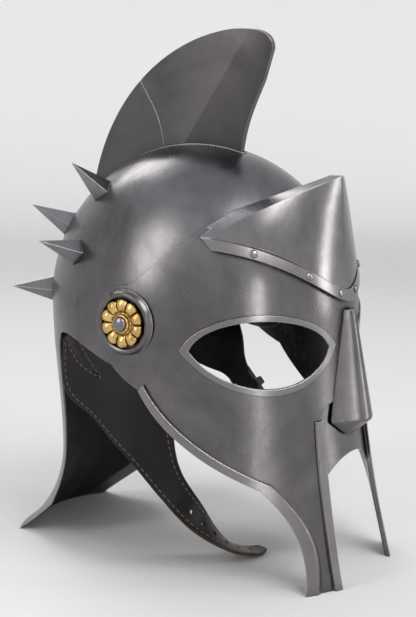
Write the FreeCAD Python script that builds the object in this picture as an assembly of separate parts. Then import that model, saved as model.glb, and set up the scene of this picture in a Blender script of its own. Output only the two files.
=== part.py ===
import FreeCAD, Part
import functools
import math
import os
from FreeCAD import Placement, Rotation, Vector

# A gladiator's helmet of polished steel sheet with a fin crest and a visor, lined with black leather.
# +Z is up, the face looks along -Y and the wearer's right side is at -X.
# The dome is a ball squeezed in X, so that its side view is a true circle about the visor's
# pivot axis, and the visor can turn over it. Domed sheets are planished: they are built of
# small flat facets, in courses that run round the helmet.
# All lengths are in millimetres and all angles in degrees.

# Dome, neck guard and sheet
bowl_radius = 126.0  # dome seen from the side, outer face
bowl_half_width = 102.0  # half of the dome's width, outer face
pivot_height = 196.0  # pivot axis and dome centre above the ground
sheet = 1.6  # steel sheet of bowl, visor and crest
course = 20.0  # width of one course of facets
facets_round = 48  # facets in a full course
facets_small = 12  # facets round a rivet's or a bolt's head
curve_steps = 10  # straight steps along each curve of an outline
nape_radius = 119.0  # narrowest part of the back, outer face
nape_height = 78.0
rim_radius = 160.0  # flared lower rim of the neck guard
forehead_rise = 26.0  # front rim of the bowl above the pivot axis
side_lobe = 30.0  # bowl left standing round each pivot
ear_back = 72.0  # top of the ear arch behind the pivot
ear_drop = 18.0  # top of the ear arch below the pivot
guard_front = 86.0  # front edge of the neck guard behind the pivot
guard_corner_back = 101.0  # lower front corner of the neck guard
guard_corner_height = 30.0
guard_rest_back = 141.0  # the neck guard stands on the ground behind this

# Visor
visor_gap = 1.5  # running gap between dome and visor
visor_chin_radius = 140.0  # pole of the mask's profile near the chin, outer face
visor_foot_radius = 156.0  # front of the mask at the ground, outer face
pivot_lobe = 27.0  # rounded end of the visor round each pivot
temple_back = 44.0  # the visor's upper edge on its way from the pivot to the brow
temple_rise = 62.0
jaw_back = 14.0  # rear corner of the jaw, in front of the pivot
jaw_drop = 49.0
jaw_turn_back = 102.0  # where the jaw's edge turns down into the cheek guard
jaw_turn_height = 78.0
guard_foot_back = 134.0  # rear edge of the cheek guard at the ground
mouth_foot_half = 41.0  # half of the gap between the cheek guards, at the ground
mouth_top_half = 34.0
mouth_arch_height = 124.0  # where the gap's straight sides end
mouth_top_height = 137.0

# Eye openings, seen along a line that is turned from the front
eye_turn = 44.0
eye_level = -17.0  # corners of an opening from the pivot axis
eye_outer = -35.0  # outer corner, across the turned view
eye_inner = 71.0
eye_upper = 22.0  # height of the upper lid above the corners
eye_lower = 28.0
eye_rim_width = 4.5
eye_rim_height = 1.4

# Brow plate, a tall plate with a keel
brow_half_width = 82.0
brow_side_drop = 62.0  # its ends, below the dome's top
brow_low_rise = 22.0  # middle of its lower edge
brow_peak_drop = 20.0  # its peak, below the dome's top
brow_foot_rise = 12.0  # the plate's form starts here
brow_top_back = 17.1  # the plate's top beside the keel stands this far behind the mask's front
brow_gap = 0.9  # between the mask and the brow plate
brow_keel = 11.0  # how far the keel stands forward at the peak
brow_lap = 9.0  # lap over the mask
brow_return = 10.0  # flange turned back along the top edge
brow_band_width = 9.0
brow_band_thickness = 3.4
rivet_radius = 3.0
rivet_height = 1.4

# Nose guard
nose_top_rise = 8.0
nose_bottom_height = 121.0
nose_end_height = 108.0
nose_stand = 20.9  # its foremost point, in front of the mask's curve
nose_end_stand = 5.9
nose_top_half = 7.0
nose_bottom_half = 27.0
nose_end_half = 19.0
nose_top_ridge = 2.5
nose_bottom_ridge = 6.0
nose_top_stand = 6.0

# Mouth plate and edge strips
mouth_plate_half = 46.0
mouth_plate_top = 147.0
mouth_plate_side = 74.0  # height of its lower corners
mouth_plate_arch = 94.0  # height of its lower edge in the middle
strip_width = 6.0
strip_thickness = 2.2

# Crest
crest_front_angle = 18.5  # in front of the top
crest_rear_angle = 57.0  # behind the top
crest_height = 92.0  # above the dome
crest_base_half = 7.0
crest_tip_half = 1.8
crest_hollow_margin = 14.0
crest_front_taper = 40.0  # the fin thins to its front edge over this length

# Spikes
spike_half = 10.0
spike_length = 34.0
spike_angles = [31.0, 53.0, 58.0, 86.0]  # behind the top, one for each pair
spike_turns = [33.0, 53.0, 24.0, 26.0]  # to the side

# Pivots
bolt_radius = 3.0
bolt_head_radius = 5.5
bolt_head_height = 3.0
rosette_radius = 18.0
rosette_thickness = 2.0
rosette_gap = 0.5  # between its flat back and the mask's curve
rosette_petals = 10
petal_valley_radius = 15.5  # rim between two petals
petal_ridge_radius = 13.0  # top of each petal from the rosette's middle
petal_root_radius = 7.0
petal_height = 3.2
boss_inner_radius = 18.6
boss_crest_radius = 21.5
boss_outer_radius = 25.0
boss_height = 3.0
nut_radius = 6.0
nut_thickness = 5.0
nut_gap = 0.7  # between the nut and the dome's curved inner face

# Leather
lining_thickness = 2.4
lining_margin = 5.0  # from the steel's edge
headband_height = 30.0
headband_thickness = 2.0
headband_rise = 32.0
crown_pad_radius = 50.0
crown_pad_thickness = 12.0
strap_thickness = 3.0
flap_width = 58.0
strap_steps = 3  # sections of the strap from one row of its table to the next
strap_hole_radius = 2.0
strap_hole_count = 6
strap_hole_pitch = 14.0

# Buckle, on the short side of the chin strap
buckle_lean = 40.0  # of the strap at the buckle, forwards from straight down
fold_length = 36.0  # straight end of the strap, folded round the buckle's bar
fold_step = 4.0  # the folded layer ends this much lower
slot_half = 2.2  # slot for the tongue
slot_length = 12.0
bar_radius = 1.5
frame_bar = 3.0  # square section of the buckle's frame
frame_length = 22.0  # from the bar to the frame's front
frame_back = 2.2  # the frame's sides run past the bar
frame_gap = 0.6  # between the strap's edges and the frame
tongue_ring_radius = 3.0
tongue_ring_half = 1.8
tongue_radius = 1.2
tongue_gap = 0.3  # between the tongue and the frame's front bar
tongue_overhang = 1.5
keeper_place = 20.0  # up the strap from the bar
keeper_half = 3.5
keeper_thickness = 1.6
keeper_gap = 0.3

# Clearances and cuts
seat = 0.2  # between curved faces that bear on each other
pin_clearance = 0.06  # between a pin and its hole
turning_gap = 0.3  # between faces that turn past each other
overrun = 60.0  # how far cutting tools run past what they cut

visor_radius = bowl_radius + visor_gap + sheet
nose_reach = visor_radius + nose_stand  # foremost point of the helmet, from the pivot axis
dome_shift = (nose_reach - rim_radius) / 2  # dome centre along Y, which centres the helmet
pivot = Vector(0, dome_shift, pivot_height)
brow_side_rise = bowl_radius - brow_side_drop  # above the pivot axis
brow_peak_rise = bowl_radius - brow_peak_drop
visor_half_width = bowl_half_width + visor_gap + sheet
up = Vector(0, 0, 1)
outwards = Vector(-1, 0, 0)  # away from the wearer's right ear
far = bowl_radius + crest_height + overrun

# Shares of the named sizes, chosen by eye
crest_edge_shares = [  # height above the dome, turn towards the rear or the front end
    (-0.09, 1.0),
    (0.566, 0.57),
    (0.897, 0.18),
    (0.97, -0.43),
    (1.05, -0.82),
    (1.01, -0.98),
    (0.83, -1.0),
    (0.52, -1.01),
    (0.32, -0.8),
    (-0.09, -1.0),
]
brow_lower_shares = [(0.3, 0.06), (0.66, 0.76)]  # of half width, of the rise from middle to end
brow_upper_shares = [(0.82, 0.42), (0.36, 0.84)]  # of half width, of the rise from end to peak
jaw_inset_shares = [
    (-0.6, 0.8),
    (-0.6, 0.8),
    (-0.7, 0.7),
    (-0.8, 0.6),
    (-0.92, 0.4),
    (-0.95, 0.3),
    (-1.0, 0.0),
]
rivet_shares = [0.16, 0.5, 0.84]  # along each half of the brow band
strap_shares = [  # x, y, z and width, of half width, radius, pivot height and flap width
    (0.785, 0.5, 0.93, 0.62),
    (0.84, 0.36, 0.80, 0.98),
    (0.845, 0.17, 0.655, 0.93),
    (0.81, -0.02, 0.50, 0.62),
    (0.72, -0.16, 0.335, 0.41),
    (0.545, -0.28, 0.18, 0.39),
    (0.33, -0.375, 0.065, 0.38),
    (0.13, -0.43, 0.018, 0.38),
    (0.0, -0.462, 0.012, 0.16),
]
strap_left_shares = [
    (0.785, 0.5, 0.93, 0.62),
    (0.84, 0.37, 0.81, 0.96),
    (0.85, 0.25, 0.715, 0.82),
    (0.845, 0.165, 0.65, 0.48),
    (0.84, 0.12, 0.615, 0.38),
]
strap_left_face_shares = [
    (-0.96, 0.25, 0.1),
    (-0.98, 0.1, -0.1),
    (-1.0, 0.0, 0.0),
    (-1.0, 0.0, 0.0),
    (-1.0, 0.0, 0.0),
]
strap_face_shares = [  # the leather's outer face looks this way at each section
    (-0.96, 0.25, 0.1),
    (-0.98, 0.1, -0.1),
    (-0.97, 0.0, -0.2),
    (-0.93, -0.1, 0.3),
    (-0.75, -0.2, 0.6),
    (-0.5, -0.2, 0.85),
    (-0.25, -0.1, 0.95),
    (-0.1, 0.0, 1.0),
    (-0.05, 0.0, 1.0),
]


def side_view(y, rise):
    """A point of a side view, measured from the pivot axis."""
    return pivot + Vector(0, y, rise)


def front_view(x, rise):
    """A point of a front view, measured from the pivot axis."""
    return Vector(x, 0, pivot_height + rise)


def bezier(poles, t):
    """A point of a cubic curve in a plane, and the curve's direction there."""
    a, b, c, d = (1 - t) ** 3, 3 * t * (1 - t) ** 2, 3 * t**2 * (1 - t), t**3
    point = tuple(a * p + b * q + c * r + d * s for p, q, r, s in zip(*poles))
    a, b, c = (1 - t) ** 2, 2 * t * (1 - t), t**2
    way = tuple(a * (q - p) + b * (r - q) + c * (s - r) for p, q, r, s in zip(*poles))
    return point, way


def outline(place, start, *steps):
    """A closed wire. A step is a point, for a line, or three points, for a curve's poles and end."""
    points = [start]
    for step in steps:
        if isinstance(step[0], tuple):
            poles = [points[-1], *step]
            points += [bezier(poles, i / curve_steps)[0] for i in range(1, curve_steps + 1)]
        else:
            points.append(step)
    corners = [place(*point) for point in points]
    chosen = corners[:1]
    for corner in corners[1:]:
        if corner.distanceToPoint(chosen[-1]) > seat and corner.distanceToPoint(corners[0]) > seat:
            chosen.append(corner)
    return Part.makePolygon(chosen + chosen[:1])


def side_prism(wire):
    """Everything that a side view's outline holds."""
    face = Part.Face(wire)
    face.translate(Vector(-far, 0, 0))
    return face.extrude(Vector(2 * far, 0, 0))


def front_prism(wire):
    """Everything in front of the helmet's middle that a front view's outline holds."""
    return Part.Face(wire).extrude(Vector(0, -far, 0))


def mirrored(shape):
    """The wearer's left of a piece made for the right."""
    return shape.mirror(Vector(0, 0, 0), Vector(1, 0, 0))


def courses(length):
    return max(2, round(length / course))


def arc_rows(centre, radius, start, end, side):
    """Rows of a profile along an arc: radius, height and the way out of the sheet."""
    count = courses(radius * math.radians(abs(end - start)))
    rows = []
    for i in range(count + 1):
        turn = math.radians(start + (end - start) * i / count)
        out = (math.sin(turn), math.cos(turn))
        point = (centre[0] + radius * out[0], centre[1] + radius * out[1])
        rows.append((*point, side * out[0], side * out[1]))
    return rows


def curve_rows(poles):
    """Rows of a profile along a cubic curve that runs down, its first row left out."""
    count = courses(math.dist(poles[0], poles[-1]))
    rows = []
    for i in range(1, count + 1):
        point, (dr, dz) = bezier(poles, i / count)
        size = math.hypot(dr, dz)
        rows.append((*point, -dz / size, dr / size))
    return rows


def bowl_rows():
    """The bowl's outer face: dome, back of the head and flared neck guard."""
    drop = (pivot_height - nape_height) / 3
    flare = rim_radius - nape_radius
    flare_radius = (flare**2 + nape_height**2) / (2 * flare)
    flare_angle = math.degrees(math.asin(nape_height / flare_radius))
    centre = (nape_radius + flare_radius, nape_height)
    poles = [
        (bowl_radius, pivot_height),
        (bowl_radius, pivot_height - drop),
        (nape_radius, nape_height + drop),
        (nape_radius, nape_height),
    ]
    dome = arc_rows((0, pivot_height), bowl_radius, 0, 90, 1)
    guard = arc_rows(centre, flare_radius, -90, -90 - flare_angle, -1)
    return dome + curve_rows(poles) + guard[1:]


def visor_rows():
    """The mask's outer face, a ball over the dome and a long curve down to the ground."""
    third = pivot_height / 3
    poles = [
        (visor_radius, pivot_height),
        (visor_radius, pivot_height - third),
        (visor_chin_radius, third),
        (visor_foot_radius, 0),
    ]
    return arc_rows((0, pivot_height), visor_radius, 0, 90, 1) + curve_rows(poles)


def flat_faces(corners):
    """Flat faces over three or four corners, of which two may be one point."""
    points = []
    for corner in corners:
        if all(corner.distanceToPoint(point) > pin_clearance / 100 for point in points):
            points.append(corner)
    if len(points) < 3:
        return []
    normal = (points[1] - points[0]).cross(points[2] - points[0]).normalize()
    if len(points) == 3 or abs((points[3] - points[0]).dot(normal)) < pin_clearance / 1000:
        return [Part.Face(Part.makePolygon(points + points[:1]))]
    if points[0].distanceToPoint(points[2]) > points[1].distanceToPoint(points[3]):
        points = points[1:] + points[:1]
    halves = (points[:3], points[2:] + points[:1])
    return [Part.Face(Part.makePolygon(half + half[:1])) for half in halves]


def ring_about(middle, across, along, radius, count):
    """Points at equal steps of a circle in the plane of two directions."""
    ring = []
    for i in range(count):
        turn = 2 * math.pi * i / count
        ring.append(middle + (across * math.cos(turn) + along * math.sin(turn)) * radius)
    return ring


def faceted(rings, looped=False):
    """A closed solid of flat facets between rings of points. It has two ends, or is looped."""
    faces = []
    if looped:
        rings = rings + rings[:1]
    for ring in () if looped else (rings[0], rings[-1]):
        if ring[0] != ring[1]:
            faces.append(Part.Face(Part.makePolygon(ring + ring[:1])))
    for upper, lower in zip(rings, rings[1:]):
        for i in range(len(upper)):
            faces += flat_faces([upper[i - 1], upper[i], lower[i], lower[i - 1]])
    skin = Part.makeCompound(faces)
    skin.sewShape()
    solid = Part.makeSolid(skin.Shells[0])
    if solid.Volume < 0:
        solid.reverse()
    return solid


def rod_between(start, end, radius):
    """A straight rod of many flat sides between two points."""
    way = (end - start).normalize()
    across = way.cross(Vector(way.y, way.z, way.x)).normalize()
    along = way.cross(across)
    return faceted([ring_about(point, across, along, radius, facets_small) for point in (start, end)])


def form(rows, half_width, grow, skip=1):
    """A profile's rows run round the helmet, grown all over and squeezed to its width."""
    points = [(r + grow * out_r, z + grow * out_z) for r, z, out_r, out_z in rows]
    points[0] = (0, points[0][1])
    points.append((points[-1][0], -overrun))
    widest = max(r for r, z, _, _ in rows if z >= pivot_height)
    squeeze = (half_width + grow) / (widest + grow)
    rings = []
    for r, z in points:
        ring = []
        for i in range(0, facets_round, skip):
            turn = 2 * math.pi * i / facets_round
            ring.append(
                Vector(squeeze * r * math.cos(turn), dome_shift + r * math.sin(turn), z)
            )
        rings.append(ring)
    return faceted(rings)


@functools.cache
def bowl_form(grow, skip=1):
    return form(bowl_rows(), bowl_half_width, grow, skip)


@functools.cache
def visor_form(grow):
    return form(visor_rows(), visor_half_width, grow)


def on_axis(radius, start, length):
    """A cylinder on the pivot axis at the wearer's right, from a distance off the middle outwards."""
    return Part.makeCylinder(radius, length, pivot + outwards * start, outwards)


def bowl_outline(margin):
    """The bowl's side view, with every edge drawn back by a margin."""
    lobe = side_lobe - margin
    ear = -ear_drop + margin
    front = guard_front + margin
    corner = (guard_corner_back + margin, guard_corner_height + margin - pivot_height)
    rest = margin - pivot_height
    brow = forehead_rise + margin
    return outline(
        side_view,
        (-far, brow),
        (-2 * lobe, brow),
        ((-1.35 * lobe, brow), (-lobe, 0.6 * lobe), (-lobe, 0)),
        ((-lobe, -0.75 * lobe), (-0.6 * lobe, -1.2 * lobe), (0, -1.2 * lobe)),
        ((0.8 * lobe, -1.2 * lobe), (ear_back - 0.8 * lobe, ear), (ear_back, ear)),
        ((front, ear), (front, ear - 0.4 * lobe), (front, ear - lobe)),
        ((front, nape_height - pivot_height), (front, 1.5 * corner[1] / 2), corner),
        (guard_rest_back, rest),
        (far, rest),
        (far, far),
        (-far, far),
    )


def make_bowl():
    steel = bowl_form(0).cut(bowl_form(-sheet))
    steel = steel.common(side_prism(bowl_outline(0)))
    hole = on_axis(bolt_radius + pin_clearance, 0, far)
    return steel.cut(hole).cut(mirrored(hole))


def dome_frame(angle, side_angle):
    """The point of the dome's outer face in a direction, and the way out of the sheet there."""
    a = math.radians(angle)
    b = math.radians(side_angle)
    unit = Vector(math.sin(b), math.cos(b) * math.sin(a), math.cos(b) * math.cos(a))
    point = pivot + Vector(unit.x * bowl_half_width, unit.y * bowl_radius, unit.z * bowl_radius)
    out = Vector(unit.x / bowl_half_width, unit.y / bowl_radius, unit.z / bowl_radius)
    return point, out.normalize()


def spike_places():
    """Angle behind the top and angle to the side of each spike, in pairs."""
    places = []
    for angle, turn in zip(spike_angles, spike_turns):
        places += [(angle, -turn), (angle, turn)]
    return places


def make_spike(angle, side_angle):
    """A four-sided spike whose base follows the dome."""
    point, out = dome_frame(angle, side_angle)
    sunk = spike_half**2 / bowl_half_width
    corners = [(1, 0), (0, 1), (-1, 0), (0, -1)]
    base = [Vector(spike_half * i, spike_half * j, 0) for i, j in corners]
    tip = Vector(0, 0, spike_length + sunk)
    faces = [Part.Face(Part.makePolygon(base + base[:1]))]
    for first, second in zip(base, base[1:] + base[:1]):
        faces.append(Part.Face(Part.makePolygon([first, second, tip, first])))
    spike = Part.makeSolid(Part.makeShell(faces))
    across = up.cross(out)
    spike.Placement = Placement(point - out * sunk, Rotation(across, out.cross(across), out, "ZXY"))
    return spike.cut(bowl_form(seat))


def crest_point(rise_share, turn_share, margin):
    """A point of the fin's side view, drawn in by a margin."""
    radius = bowl_radius + crest_height * rise_share - margin
    limit = crest_rear_angle if turn_share > 0 else crest_front_angle
    turn = math.radians(limit) * turn_share - math.copysign(margin / radius, turn_share)
    return radius * math.sin(turn), radius * math.cos(turn)


def crest_outline(margin):
    """The fin's side view, drawn in by a margin."""
    points = [crest_point(*shares, margin) for shares in crest_edge_shares]
    curves = [tuple(points[i : i + 3]) for i in range(1, len(points), 3)]
    return outline(side_view, points[0], *curves)


def crest_slab(inset):
    """The right half of the space that the fin's flat sides hold, drawn in by an inset."""
    low = pivot_height
    high = pivot_height + bowl_radius + crest_height
    lean = (crest_base_half - crest_tip_half) / crest_height
    bottom = -crest_tip_half - lean * (high - low) + inset
    wire = [(0, low), (bottom, low), (min(inset - crest_tip_half, 0), high + overrun), (0, high + overrun)]
    points = [Vector(x, -far, z) for x, z in wire]
    return Part.Face(Part.makePolygon(points + points[:1])).extrude(Vector(0, 2 * far, 0))


def crest_wedge(inset):
    """The right half of the space between the fin's faces as they close towards its front edge."""
    foot, foot_rise = crest_point(*crest_edge_shares[-1], 0)
    head, head_rise = crest_point(*crest_edge_shares[5], 0)
    lean = (head - foot) / (head_rise - foot_rise)
    front = dome_shift + foot - lean * foot_rise
    slope = (crest_base_half - crest_tip_half) / crest_front_taper
    edge = min(inset - crest_tip_half, 0)
    wire = [(0, front), (edge, front), (edge - 2 * slope * far, front + 2 * far), (0, front + 2 * far)]
    points = [Vector(x, y, pivot_height) for x, y in wire]
    way = Vector(0, lean, 1) * (bowl_radius + crest_height + overrun)
    return Part.Face(Part.makePolygon(points + points[:1])).extrude(way)


def make_crest_plate():
    """The right half of the fin, a sheet that leans on its twin along the edge."""
    plate = crest_slab(0).common(side_prism(crest_outline(0))).common(crest_wedge(0))
    hollow = crest_slab(sheet).common(side_prism(crest_outline(crest_hollow_margin)))
    hollow = hollow.common(crest_wedge(sheet))
    return plate.cut(hollow).cut(bowl_form(0))


def jaw_poles(margin):
    """The mask's rear edge from the jaw down the cheek guard, drawn in by a margin."""
    turn = jaw_turn_height - pivot_height
    poles = [
        (-jaw_back, -jaw_drop),
        (-2.4 * jaw_back, -1.65 * jaw_drop),
        (-0.72 * jaw_turn_back, 0.87 * turn),
        (-jaw_turn_back, turn),
        (-0.93 * guard_foot_back, 1.22 * turn),
        (-0.98 * guard_foot_back, -0.85 * pivot_height),
        (-guard_foot_back, -pivot_height),
    ]
    return [
        (y + margin * dy, rise + margin * dz)
        for (y, rise), (dy, dz) in zip(poles, jaw_inset_shares)
    ]


def visor_outline():
    """The mask's side view."""
    jaw = jaw_poles(0)
    lobe = pivot_lobe
    return outline(
        side_view,
        (-far, temple_rise + overrun),
        (-temple_back - overrun, temple_rise + overrun),
        (-temple_back, temple_rise),
        ((-0.6 * temple_back, 0.84 * temple_rise), (-0.55 * lobe, 1.25 * lobe), (0, lobe)),
        ((0.6 * lobe, lobe), (lobe, 0.6 * lobe), (lobe, 0)),
        ((lobe, -0.8 * lobe), (0.3 * lobe, -1.5 * lobe), jaw[0]),
        tuple(jaw[1:4]),
        tuple(jaw[4:7]),
        (-far, -pivot_height),
    )


def mouth_half(height):
    """Half of the gap between the cheek guards at a height."""
    slope = (mouth_top_half - mouth_foot_half) / mouth_arch_height
    return mouth_foot_half + slope * height


def mouth_window():
    arch = mouth_arch_height - pivot_height
    top = mouth_top_height - pivot_height
    foot = -pivot_height - overrun
    return outline(
        front_view,
        (-mouth_half(-overrun), foot),
        (-mouth_top_half, arch),
        ((-mouth_top_half, top), (-0.5 * mouth_top_half, top), (0, top)),
        ((0.5 * mouth_top_half, top), (mouth_top_half, top), (mouth_top_half, arch)),
        (mouth_half(-overrun), foot),
    )


def eye_prism(margin):
    """The right eye opening, widened all round by a margin and run out through the mask."""
    turn = math.radians(eye_turn)
    across = Vector(math.cos(turn), -math.sin(turn), 0)
    out = Vector(-math.sin(turn), -math.cos(turn), 0)
    wide = eye_inner - eye_outer
    high = eye_level + (eye_upper + margin) * 4 / 3
    low = eye_level - (eye_lower + margin) * 4 / 3
    start = (eye_outer - 1.4 * margin, eye_level)
    end = (eye_inner + 1.4 * margin, eye_level)
    wire = outline(
        lambda u, rise: pivot + across * u + up * rise,
        start,
        ((eye_outer + 0.1 * wide, high), (eye_inner - 0.16 * wide, high), end),
        ((eye_inner - 0.1 * wide, low), (eye_outer + 0.24 * wide, low), start),
    )
    return Part.Face(wire).extrude(out * far)


def brow_lower_poles(shift):
    """Half of the brow plate's lower edge in the front view, from the middle out."""
    climb = brow_side_rise - brow_low_rise
    poles = [(0, brow_low_rise + shift)]
    for width_share, rise_share in brow_lower_shares:
        poles.append((brow_half_width * width_share, brow_low_rise + climb * rise_share + shift))
    return poles + [(brow_half_width, brow_side_rise + shift)]


def reflected(poles):
    return [(-x, rise) for x, rise in poles]


def brow_outline(shift):
    """The brow plate's front view, moved up or down."""
    climb = brow_peak_rise - brow_side_rise
    rising = [(brow_half_width, brow_side_rise + shift)]
    for width_share, rise_share in brow_upper_shares:
        rising.append((brow_half_width * width_share, brow_side_rise + climb * rise_share + shift))
    rising.append((0, brow_peak_rise + shift))
    lower = brow_lower_poles(shift)
    return outline(
        front_view,
        (-brow_half_width, brow_side_rise + shift),
        tuple(reflected(rising)[1:]),
        tuple(rising[-2::-1]),
        tuple(lower[-2::-1]),
        tuple(reflected(lower)[1:]),
    )


def below_brow(shift):
    """Everything under the brow plate's lower edge moved by a shift, and beside the plate."""
    poles = brow_lower_poles(shift)
    return front_prism(
        outline(
            front_view,
            (-far, -far),
            (-far, far),
            (-brow_half_width, far),
            (-brow_half_width, brow_side_rise + shift),
            tuple(reflected(poles)[-2::-1]),
            tuple(poles[1:]),
            (brow_half_width, far),
            (far, far),
            (far, -far),
        )
    )


def behind_middle():
    """The half of space behind the helmet's middle."""
    return Part.makeBox(2 * far, far, 2 * far, Vector(-far, 0, -far + pivot_height))


def make_visor_shell():
    steel = visor_form(0).cut(visor_form(-sheet))
    steel = steel.common(side_prism(visor_outline()))
    steel = steel.common(below_brow(brow_lap).fuse(behind_middle()))
    steel = steel.cut(front_prism(mouth_window()))
    hole = on_axis(bolt_radius + pin_clearance, 0, far)
    for opening in (eye_prism(0), hole):
        steel = steel.cut(opening).cut(mirrored(opening))
    return steel


@functools.cache
def brow_form(grow):
    """The brow plate's form: oval sections that part from the ball upwards, with a keel."""
    top = brow_peak_rise + course
    count = courses(top - brow_foot_rise)
    foot_reach = math.sqrt(visor_radius**2 - brow_foot_rise**2) + brow_gap + sheet
    top_reach = visor_radius - brow_top_back
    squeeze = visor_half_width / visor_radius
    bend = 0.5523
    rings = []
    for i in range(count + 1):
        share = i / count
        rise = brow_foot_rise + (top - brow_foot_rise) * share
        half = squeeze * math.sqrt(visor_radius**2 - rise**2) + brow_gap + sheet + grow
        reach = foot_reach + (top_reach - foot_reach) * share + grow
        tip = reach + brow_keel * share**1.5
        poles = [(half, 0), (half, bend * reach), (bend * half, reach), (0, tip)]
        steps = facets_round // 4
        right = [bezier(poles, step / steps)[0] for step in range(steps + 1)]
        ring = right + [(-x, y) for x, y in right[-2::-1]]
        rings.append([pivot + Vector(x, -y, rise) for x, y in ring])
    return faceted(rings)


def make_brow_plate():
    plate = brow_form(0).cut(brow_form(-sheet)).common(front_prism(brow_outline(0)))
    top_edge = front_prism(brow_outline(0)).cut(front_prism(brow_outline(-sheet)))
    flange = brow_form(0).cut(brow_form(-brow_return)).common(top_edge)
    flange = flange.cut(visor_form(brow_gap).common(below_brow(brow_lap + brow_gap)))
    return plate.fuse(flange).cut(bowl_form(visor_gap)).removeSplitter()


def make_brow_band():
    """A raised band under the brow plate's lower edge, from temple to temple."""
    ring = visor_form(seat + brow_band_thickness).cut(visor_form(seat))
    high = brow_lower_poles(-seat)
    low = brow_lower_poles(-seat - brow_band_width)
    wire = outline(
        front_view,
        reflected(low)[-1],
        tuple(reflected(low)[-2::-1]),
        tuple(low[1:]),
        high[-1],
        tuple(high[-2::-1]),
        tuple(reflected(high)[1:]),
    )
    return ring.common(front_prism(wire))


def make_brow_rivets():
    """Rivet heads along the brow band."""
    heads = []
    middle = brow_lower_poles(-seat - brow_band_width / 2)
    reach = visor_radius + seat + brow_band_thickness
    half_width = visor_half_width + seat + brow_band_thickness
    for share in rivet_shares:
        (x, rise), _ = bezier(middle, share)
        y = -reach * math.sqrt(1 - (x / half_width) ** 2 - (rise / reach) ** 2)
        out = Vector(x / half_width**2, y / reach**2, rise / reach**2).normalize()
        base = pivot + Vector(x, y, rise) + out * seat
        across = up.cross(out).normalize()
        foot = ring_about(base, across, out.cross(across), rivet_radius, facets_small)
        crown = ring_about(
            base + out * rivet_height, across, out.cross(across), 0.6 * rivet_radius, facets_small
        )
        head = faceted([foot, crown])
        heads += [head, mirrored(head)]
    return Part.makeCompound(heads)


def make_nose_guard():
    """A wedge of flat facets, closed by a sloping one at its lower end."""
    root = 0.8 * visor_radius
    rows = [
        (nose_top_rise, nose_top_half, nose_top_ridge, visor_radius + nose_top_stand),
        (nose_bottom_height - pivot_height, nose_bottom_half, nose_bottom_ridge, nose_reach),
        (nose_end_height - pivot_height, nose_end_half, nose_bottom_ridge, visor_radius + nose_end_stand),
    ]
    rings = []
    for rise, half, ridge, reach in rows:
        corners = [(-half, root), (-half, 0.5 * (root + reach)), (-ridge, reach)]
        corners += [(-x, y) for x, y in corners[::-1]]
        rings.append([pivot + Vector(x, -y, rise) for x, y in corners])
    return faceted(rings).cut(visor_form(seat))


def make_mouth_plate():
    """A plate behind the gap between the cheek guards, with an arched lower edge."""
    steel = visor_form(-sheet - seat).cut(visor_form(-2 * sheet - seat))
    half = mouth_plate_half
    side = mouth_plate_side - pivot_height
    arch = mouth_plate_arch - pivot_height
    high = mouth_plate_top - pivot_height
    wire = outline(
        front_view,
        (-half, side),
        (-0.8 * half, high),
        (0.8 * half, high),
        (half, side),
        ((0.8 * half, side), (0.6 * half, arch), (0, arch)),
        ((-0.6 * half, arch), (-0.8 * half, side), (-half, side)),
    )
    return steel.common(front_prism(wire))


def edge_ring():
    """The layer of a raised strip on the mask."""
    return visor_form(seat + strip_thickness).cut(visor_form(seat))


def make_mouth_strip():
    """A raised strip along the inner edge of the right cheek guard."""
    arch = mouth_arch_height
    wire = outline(
        front_view,
        (-mouth_half(0), -pivot_height),
        (-mouth_half(0) - strip_width, -pivot_height),
        (-mouth_half(arch) - strip_width, arch - pivot_height),
        (-mouth_half(arch), arch - pivot_height),
    )
    return edge_ring().common(front_prism(wire))


def make_jaw_strip():
    """A raised strip along the right jaw and the rear edge of the cheek guard."""
    near = jaw_poles(0)
    inner = jaw_poles(strip_width)
    wire = outline(
        side_view,
        near[0],
        tuple(near[1:4]),
        tuple(near[4:7]),
        inner[-1],
        tuple(inner[5:2:-1]),
        tuple(inner[2::-1]),
    )
    right = Part.makeBox(far, 2 * far, 2 * far, Vector(-far, -far, -pivot_height))
    return edge_ring().common(side_prism(wire)).common(right)


def make_eye_rim():
    ring = visor_form(seat + eye_rim_height).cut(visor_form(seat))
    return ring.common(eye_prism(eye_rim_width).cut(eye_prism(0)))


def around_pivot(x, radius, count):
    """Points at equal steps of a turn about the pivot axis, at a distance off the middle."""
    return ring_about(pivot + outwards * x, Vector(0, 1, 0), up, radius, count)


def make_boss():
    """A ring with a raised rim round the rosette."""
    deep = visor_half_width - boss_height
    profile = [
        (deep, boss_inner_radius),
        (visor_half_width + seat, boss_inner_radius),
        (visor_half_width + boss_height, boss_crest_radius),
        (visor_half_width - seat, boss_outer_radius),
        (deep, boss_outer_radius),
    ]
    rings = [around_pivot(x, radius, facets_round // 2) for x, radius in profile]
    return faceted(rings, looped=True).cut(visor_form(seat))


def make_rosette():
    """A brass flower: ten ridged petals round a boss for the bolt's head."""
    back = visor_half_width + rosette_gap
    face = back + rosette_thickness
    sides = 2 * rosette_petals
    tips = around_pivot(back, rosette_radius, sides)
    valleys = around_pivot(back, petal_valley_radius, sides)
    rim = [tips[i] if i % 2 else valleys[i] for i in range(sides)]
    lift = outwards * rosette_thickness
    edge = [point + lift for point in rim]
    ridge = around_pivot(face + petal_height, petal_ridge_radius, sides)
    groove = around_pivot(face, petal_ridge_radius, sides)
    crown = [ridge[i] if i % 2 else groove[i] for i in range(sides)]
    heart = around_pivot(face, petal_root_radius, sides)
    top = around_pivot(face + petal_height, petal_root_radius, sides)
    flower = faceted([rim, edge, crown, heart])
    boss = faceted([around_pivot(back, petal_root_radius, sides), top])
    hole = on_axis(bolt_radius + pin_clearance, 0, far)
    return flower.fuse(boss).removeSplitter().cut(hole)


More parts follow.
